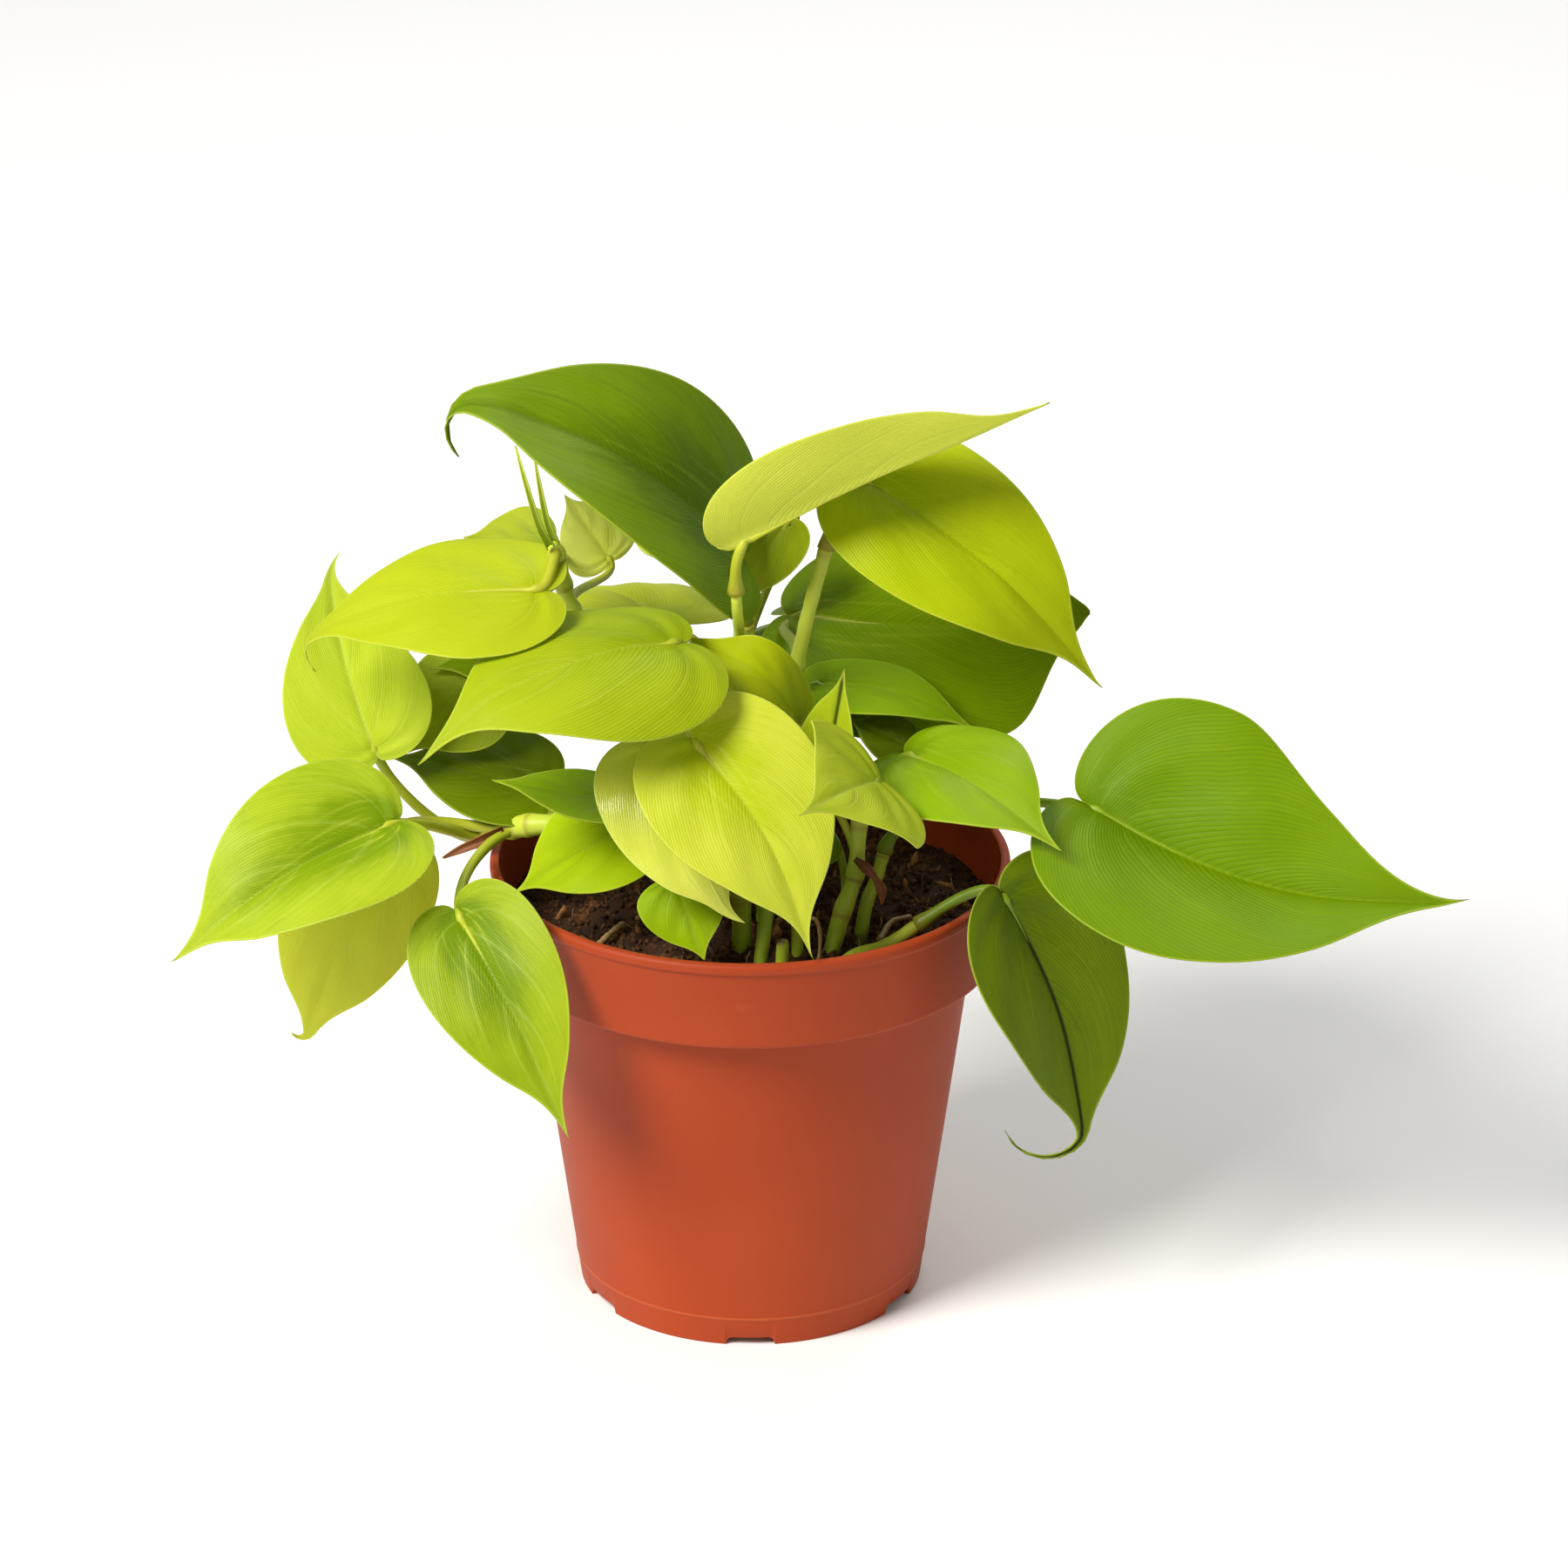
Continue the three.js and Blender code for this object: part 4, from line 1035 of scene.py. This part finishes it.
def leafShape(name, given):
    # the blade as a thin closed body, with its veins and waves in its shape
    leaf = Blade(given)
    rows = blade["rows"]
    u = np.linspace(blade["first"], blade["last"], rows)
    v = np.array([-c for c in blade["columns"][:0:-1]] + list(blade["columns"]))
    along, across = outline(u, given["lobe"], given["taper"], given["full"])
    across = across * (1 - given["pinch"] * smooth(u, blade["pinchFrom"], blade["pinchTo"]))
    drip = given["drip"] * smooth(u, blade["dripFrom"], 1.0) ** 2
    along = along + drip
    foot = veinFoot(u) + drip
    y = across[:, None] * v[None]
    point, normal = leaf.surface(foot[:, None] + (along - foot)[:, None] * np.abs(v)[None], y)
    half = given["width"] / 2
    reach = np.abs(y) * half
    edge = (1 - np.abs(v))[None] * across[:, None] * half
    grid = np.repeat(u[:, None], len(v), 1)
    span = np.repeat(np.abs(v)[None], rows, 0)
    draw = random.Random(name)
    shift, turn = draw.uniform(0, 50), draw.uniform(0, 6.28)
    vein = grid - 0.2 * span ** 1.6
    beat = np.abs((vein * blade["veinCount"] + blade["veinShift"]) % 1 - 0.5) * 2
    fade = np.clip(1 - u, 0, 1)[:, None]
    relief = -given["groove"] * np.exp(-(reach / blade["grooveWidth"]) ** 2) * fade ** 0.4
    scale = min(1, half / 16)
    fullness = np.sin(np.pi * np.clip(span, 0, 1)) * np.clip(across * 1.5, 0, 1)[:, None]
    relief += scale * fullness * (blade["quilt"] * np.sin(beat * np.pi / 2) ** 2
                                  - blade["veinDepth"] * np.clip(1 - beat * 5, 0, 1))
    wave = np.array([[noise.noise(Vector(p) * 0.055 + Vector((shift, 0, 0))) for p in row]
                     for row in point]) * 1.3 * blade["wave"] * scale
    ripple = np.sin(2 * np.pi * (2.3 * grid * np.sign(v)[None] + turn))
    ripple = blade["wave"] * scale * span ** 3 * ripple * np.clip(across, 0, 1)[:, None]
    point = point + normal * (wave + ripple)[..., None]
    if "tail" in given:
        point, normal = curlTail(point, normal, u, leaf, given["tail"])
    rim = blade["edgeThickness"]
    thick = rim + (blade["thickness"] - rim) * np.clip(edge / 1.5, 0, 1)
    ribs = blade["rib"] * np.exp(-(reach / blade["ribWidth"]) ** 2) * fade ** 0.7
    verts, faces = closedSheet(
        point + normal * (thick / 2 + relief)[..., None],
        point - normal * (thick / 2 + ribs - np.minimum(relief, 0) * 0.6)[..., None])
    none = np.zeros_like(grid)
    place = [np.stack([grid, np.repeat(v[None], rows, 0), none + side], -1).reshape(-1, 3)
             for side in (0, 1)]
    gaps = np.stack([reach, edge, none], -1).reshape(-1, 3)
    return leaf, verts, faces, np.concatenate(place), np.concatenate([gaps, gaps])


def stalkShape(leaf, rail, given):
    # the leaf stalk, from its sheathing foot on the shoot to the underside of the midrib
    behind, below = given["stalk"]
    start = rail.at(given["at"])
    end = leaf.midrib(0.04)
    length = np.linalg.norm(end - start)
    leaving = start + rail.heading(given["at"]) * 0.3 * length
    arriving = end + (-unit(leaf.chord) * behind - leaf.up * below) * length
    t = np.linspace(0, 1, max(14, int(length / 1.1)))
    line = np.stack([bezier(t, start[i], leaving[i], arriving[i], end[i]) for i in range(3)], -1)
    radius = stalk["radius"] * (stalk["smallShare"] if given["width"] < stalk["smallLeaf"] else 1.0)
    radii = radius * (1 - 0.28 * t) * (1 + 0.45 * np.exp(-(t * length / 2.6) ** 2))
    radii *= 1 + 0.12 * np.exp(-(((1 - t) * length - 2.5) / 2.2) ** 2)
    line = np.concatenate([line, leaf.midrib(np.array(stalk["run"])) - leaf.up * stalk["into"]])
    radii = np.concatenate([radii, radii[-1] * np.array(stalk["runShare"])])
    verts, faces, along = tubeShape(line, radii, stalk["sides"])
    base = np.exp(-(along * length / 1.6) ** 2)
    return verts, faces, stemPlace(along * 0.6 + 0.4, base * 0.7)["stemPlace"]


def leafFinish(name, given):
    tone = {**leafLook, **tones[given["tone"]], **given["own"]}
    skin = Finish(name)
    u, v, under = skin.attribute("bladePlace")
    reach, edge, _ = skin.attribute("bladeGaps")
    span = v.abs()
    broad = skin.noise(38, 3, 0.55)
    cloud = skin.noise(120, 4, 0.6)
    speck = skin.noise(1500, 3, 0.7)
    warp = (skin.noise(55, 2) - 0.5) * 0.04
    course = u - 0.34 * span ** 1.3 + warp  # the way that the side veins run
    brushed = skin.node("ShaderNodeCombineXYZ", sockets={0: course * 46, 1: v * 3.2})
    streak = skin.noise(1, 3, 0.6, brushed.outputs[0])
    feathered = skin.node("ShaderNodeCombineXYZ", sockets={0: u * 3.5 - span * 1.6, 1: v * 15})
    feather = skin.noise(1, 2, 0.5, feathered.outputs[0])
    beat = ((course * blade["veinCount"] + blade["veinShift"]).fract() - 0.5).abs() * 2
    side = beat.step(0.2, 0.0) * span.step(1.0, 0.5) * span.step(0.0, 0.12)
    hair = (((course * 62).fract() - 0.5).abs() * 2).step(0.6, 0.0)
    midrib = reach.step(tone["midribWidth"], 0.1)
    centre = span.step(0.75, 0.0) * u.step(0.95, 0.25)
    share = (broad * 0.6 + cloud * 0.25 + streak * 0.5 - centre * tone["centre"]).step(0.2, 0.85)
    layers = (
        (tone["light"], share),
        # painted highlight: pale streaks near the midrib, standing in for gloss catching the light on the
        # folds between side veins
        (toward(tone["light"], tone["highlightColour"], 0.4), feather.step(0.5, 0.8) * centre * tone["highlightStreaks"]),
        (dimmed(tone["deep"], 0.8), hair * streak * tone["lines"]),
        (tone["vein"], side * tone["side"]),
        (tone["vein"], midrib * tone["midrib"]),
        # painted shade: a near-black line in the fold along the midrib near the base
        (tone["creaseShadeColour"], reach.step(0.7, 0.2) * u.step(0.02, 0.14) * tone["creaseShade"]),
        (dimmed(tone["deep"], 0.7), speck.step(0.66, 0.74) * 0.3),
        (skin.blend(tone["under"], tone["vein"], midrib * 0.5 + side * 0.2), under),
        (toward(tone["light"], tone["rimColour"], 0.55), edge.step(0.4, 0.08) * 0.7),
        (tone["tipColour"], u.step(0.965, 0.992) * tone["tipBrown"]),
        (tone["spotColour"], (u * 9 + span * 6).step(1.0, 0.3) * tone["spot"]),
    )
    colour = tone["deep"]
    for over, amount in layers:
        colour = skin.blend(colour, over, amount)
    height = speck * 0.3 + cloud * 1.0 - hair * 0.5 - side * 0.7 + streak * 0.9
    front = skin.skin({
        "Base Color": colour, "Roughness": tone["gloss"] + 0.1 * cloud + 0.18 * under + 0.08 * hair,
        "Specular IOR Level": tone["shine"], "Normal": skin.bump(height, 0.4, 0.0002)})
    back = skin.node("ShaderNodeBsdfTranslucent", sockets={"Color": tint(tone["glow"])})
    both = skin.node("ShaderNodeMixShader", sockets={0: blade["through"], 1: front, 2: back.outputs[0]})
    return skin.close(both.outputs[0])


def makeLeaves(rails):
    stalkSkins = {}
    for name, row in leaves.items():
        given = {**leafForm, **row}
        given.setdefault("foldRight", given["fold"])
        given.setdefault("cupRight", given["cup"])
        kind = given["tone"]
        tone = tones[kind]
        leaf, verts, faces, place, gaps = leafShape(name, given)
        tube, tubeFaces, stalkMarks = stalkShape(leaf, rails[given["shoot"]], given)
        if kind not in stalkSkins:
            stalkSkins[kind] = stemFinish(kind + "Stalk", tone["stalk"], dimmed(tone["stalk"], 0.8))
        shift = len(verts)
        slots = [0] * len(faces) + [1] * len(tubeFaces)
        faces = faces + [tuple(i + shift for i in face) for face in tubeFaces]
        blank = np.zeros((len(tube), 3))
        piece = makePiece(name, np.concatenate([verts, tube]), faces,
                          [leafFinish(name, given), stalkSkins[kind]], slots,
                          {"bladePlace": np.concatenate([place, blank]),
                           "bladeGaps": np.concatenate([gaps, blank]),
                           "stemPlace": np.concatenate([np.zeros((shift, 3)), stalkMarks])})
        finishPiece(piece, [nodeName(name)])
    print("leaves", len(leaves))


# young sheaths stand on the upper left shoot; dried ones and loose roots are brown
sheaths = {
    "sheathPointLeft": dict(skin="young", curl=120,
        points=((-39.3, -6.5, 163), (-41.2, -9, 168), (-43.4, -11.2, 177), (-45.5, -12, 186)),
        widths=(3.4, 2.8, 2.2, 1.5, 0.3)),
    "sheathPointRight": dict(skin="young", curl=120,
        points=((-38.2, -4, 162.5), (-39.8, -4.3, 167), (-41, -5, 174), (-42, -6, 181)),
        widths=(3.2, 2.8, 2.2, 1.4, 0.3)),
    "driedSheathLeft": dict(skin="dried", curl=80,
        points=((-49.5, -6, 101.5), (-53, -7.6, 100), (-57.5, -8.4, 98.3), (-61.5, -8, 96)),
        widths=(1.2, 3, 2.2, 0.4)),
    "driedSheathRight": dict(skin="dried", curl=60,
        points=((21, -18.5, 100.5), (23.2, -20.2, 99.3), (24.9, -20.8, 97.5),
                (26.2, -21.3, 95), (26.3, -22, 92.1)),
        widths=(1, 2.6, 1.2, 2.4, 0.3)),
}
roots = {
    "rootAerial": dict(radii=(0.55, 0.4, 0.35),
        points=((10, -25, 89), (12.9, -26.4, 91), (14, -26.8, 87), (13.4, -27, 78))),
    "rootSurfaceLeft": dict(radii=(0.9, 0.6, 0.75),
        points=((-25.5, -12, 83), (-28, -17, 83.4), (-31, -22.5, 82.6))),
    "rootSurfaceRight": dict(radii=(0.8, 0.6, 0.5),
        points=((25.9, -18, 82.4), (28.4, -11, 83.2), (32.3, -7, 82.6))),
}
ribbon = {"faces": (0, -1, 0.3), "columns": 7, "thickness": 0.28, "fewest": 16, "perPoint": 6}
rootForm = {"steps": 40, "sides": 9, "knobs": 0.14}
looseSkins = {
    "young": dict(finish="youngSheath", slot="young_sheath", light=(190, 200, 72), deep=(150, 170, 36)),
    "dried": dict(finish="driedSheath", slot="dry_brown", light=(150, 84, 44), deep=(86, 44, 20)),
    "root": dict(finish="paleRoot", slot="pale_root", light=(172, 140, 92), deep=(128, 96, 56)),
}


def ribbonShape(points, widths, curl):
    # A thin curled strip along points, closed all round. curl bends its edges up, in degrees.
    count = max(ribbon["fewest"], len(points) * ribbon["perPoint"])
    centre = Rail(points).line(count)
    t = np.linspace(0, 1, count)
    width = np.interp(t, np.linspace(0, 1, len(widths)), widths)[:, None] / 2
    ahead = unit(np.gradient(centre, axis=0))
    up = np.array(ribbon["faces"], float)
    up = unit(up - ahead * (ahead @ up)[:, None])
    right = np.cross(ahead, up)
    angle = math.radians(curl) * np.linspace(-1, 1, ribbon["columns"])
    flat, rise = np.sin(angle) / math.radians(curl), (1 - np.cos(angle)) / math.radians(curl)
    middle = (centre[:, None] + right[:, None] * (flat[None] * width)[..., None]
              + up[:, None] * (rise[None] * width)[..., None])
    normal = (up[:, None] * np.cos(angle)[None, :, None] - right[:, None] * np.sin(angle)[None, :, None])
    lift = normal * ribbon["thickness"] / 2
    verts, faces = closedSheet(middle + lift, middle - lift)
    return verts, faces, np.concatenate([np.repeat(t, ribbon["columns"])] * 2)


def makeLoose():
    skins = {key: stemFinish(given["finish"], given["light"], given["deep"])
             for key, given in looseSkins.items()}
    for name, given in sheaths.items():
        verts, faces, along = ribbonShape(given["points"], given["widths"], given["curl"])
        piece = makePiece(name, verts, faces, [skins[given["skin"]]], values=stemPlace(along))
        finishPiece(piece, [nodeName(name)])
    steps = rootForm["steps"]
    for name, given in roots.items():
        radii = np.interp(np.linspace(0, 1, steps), np.linspace(0, 1, 3), given["radii"])
        turn = np.arange(steps)
        radii = radii * (1 + rootForm["knobs"] * np.sin(turn * 0.9) * np.sin(turn * 0.37))
        verts, faces, along = tubeShape(Rail(given["points"]).line(steps), radii, rootForm["sides"])
        piece = makePiece(name, verts, faces, [skins["root"]], values=stemPlace(along))
        finishPiece(piece, [nodeName(name)])
    print("sheaths and roots ready")


makeStudio()
makePot()
makeMix()
rails = {name: stemRail(name) for name in shoots}
makeStems(rails)
makeLeaves(rails)
makeLoose()
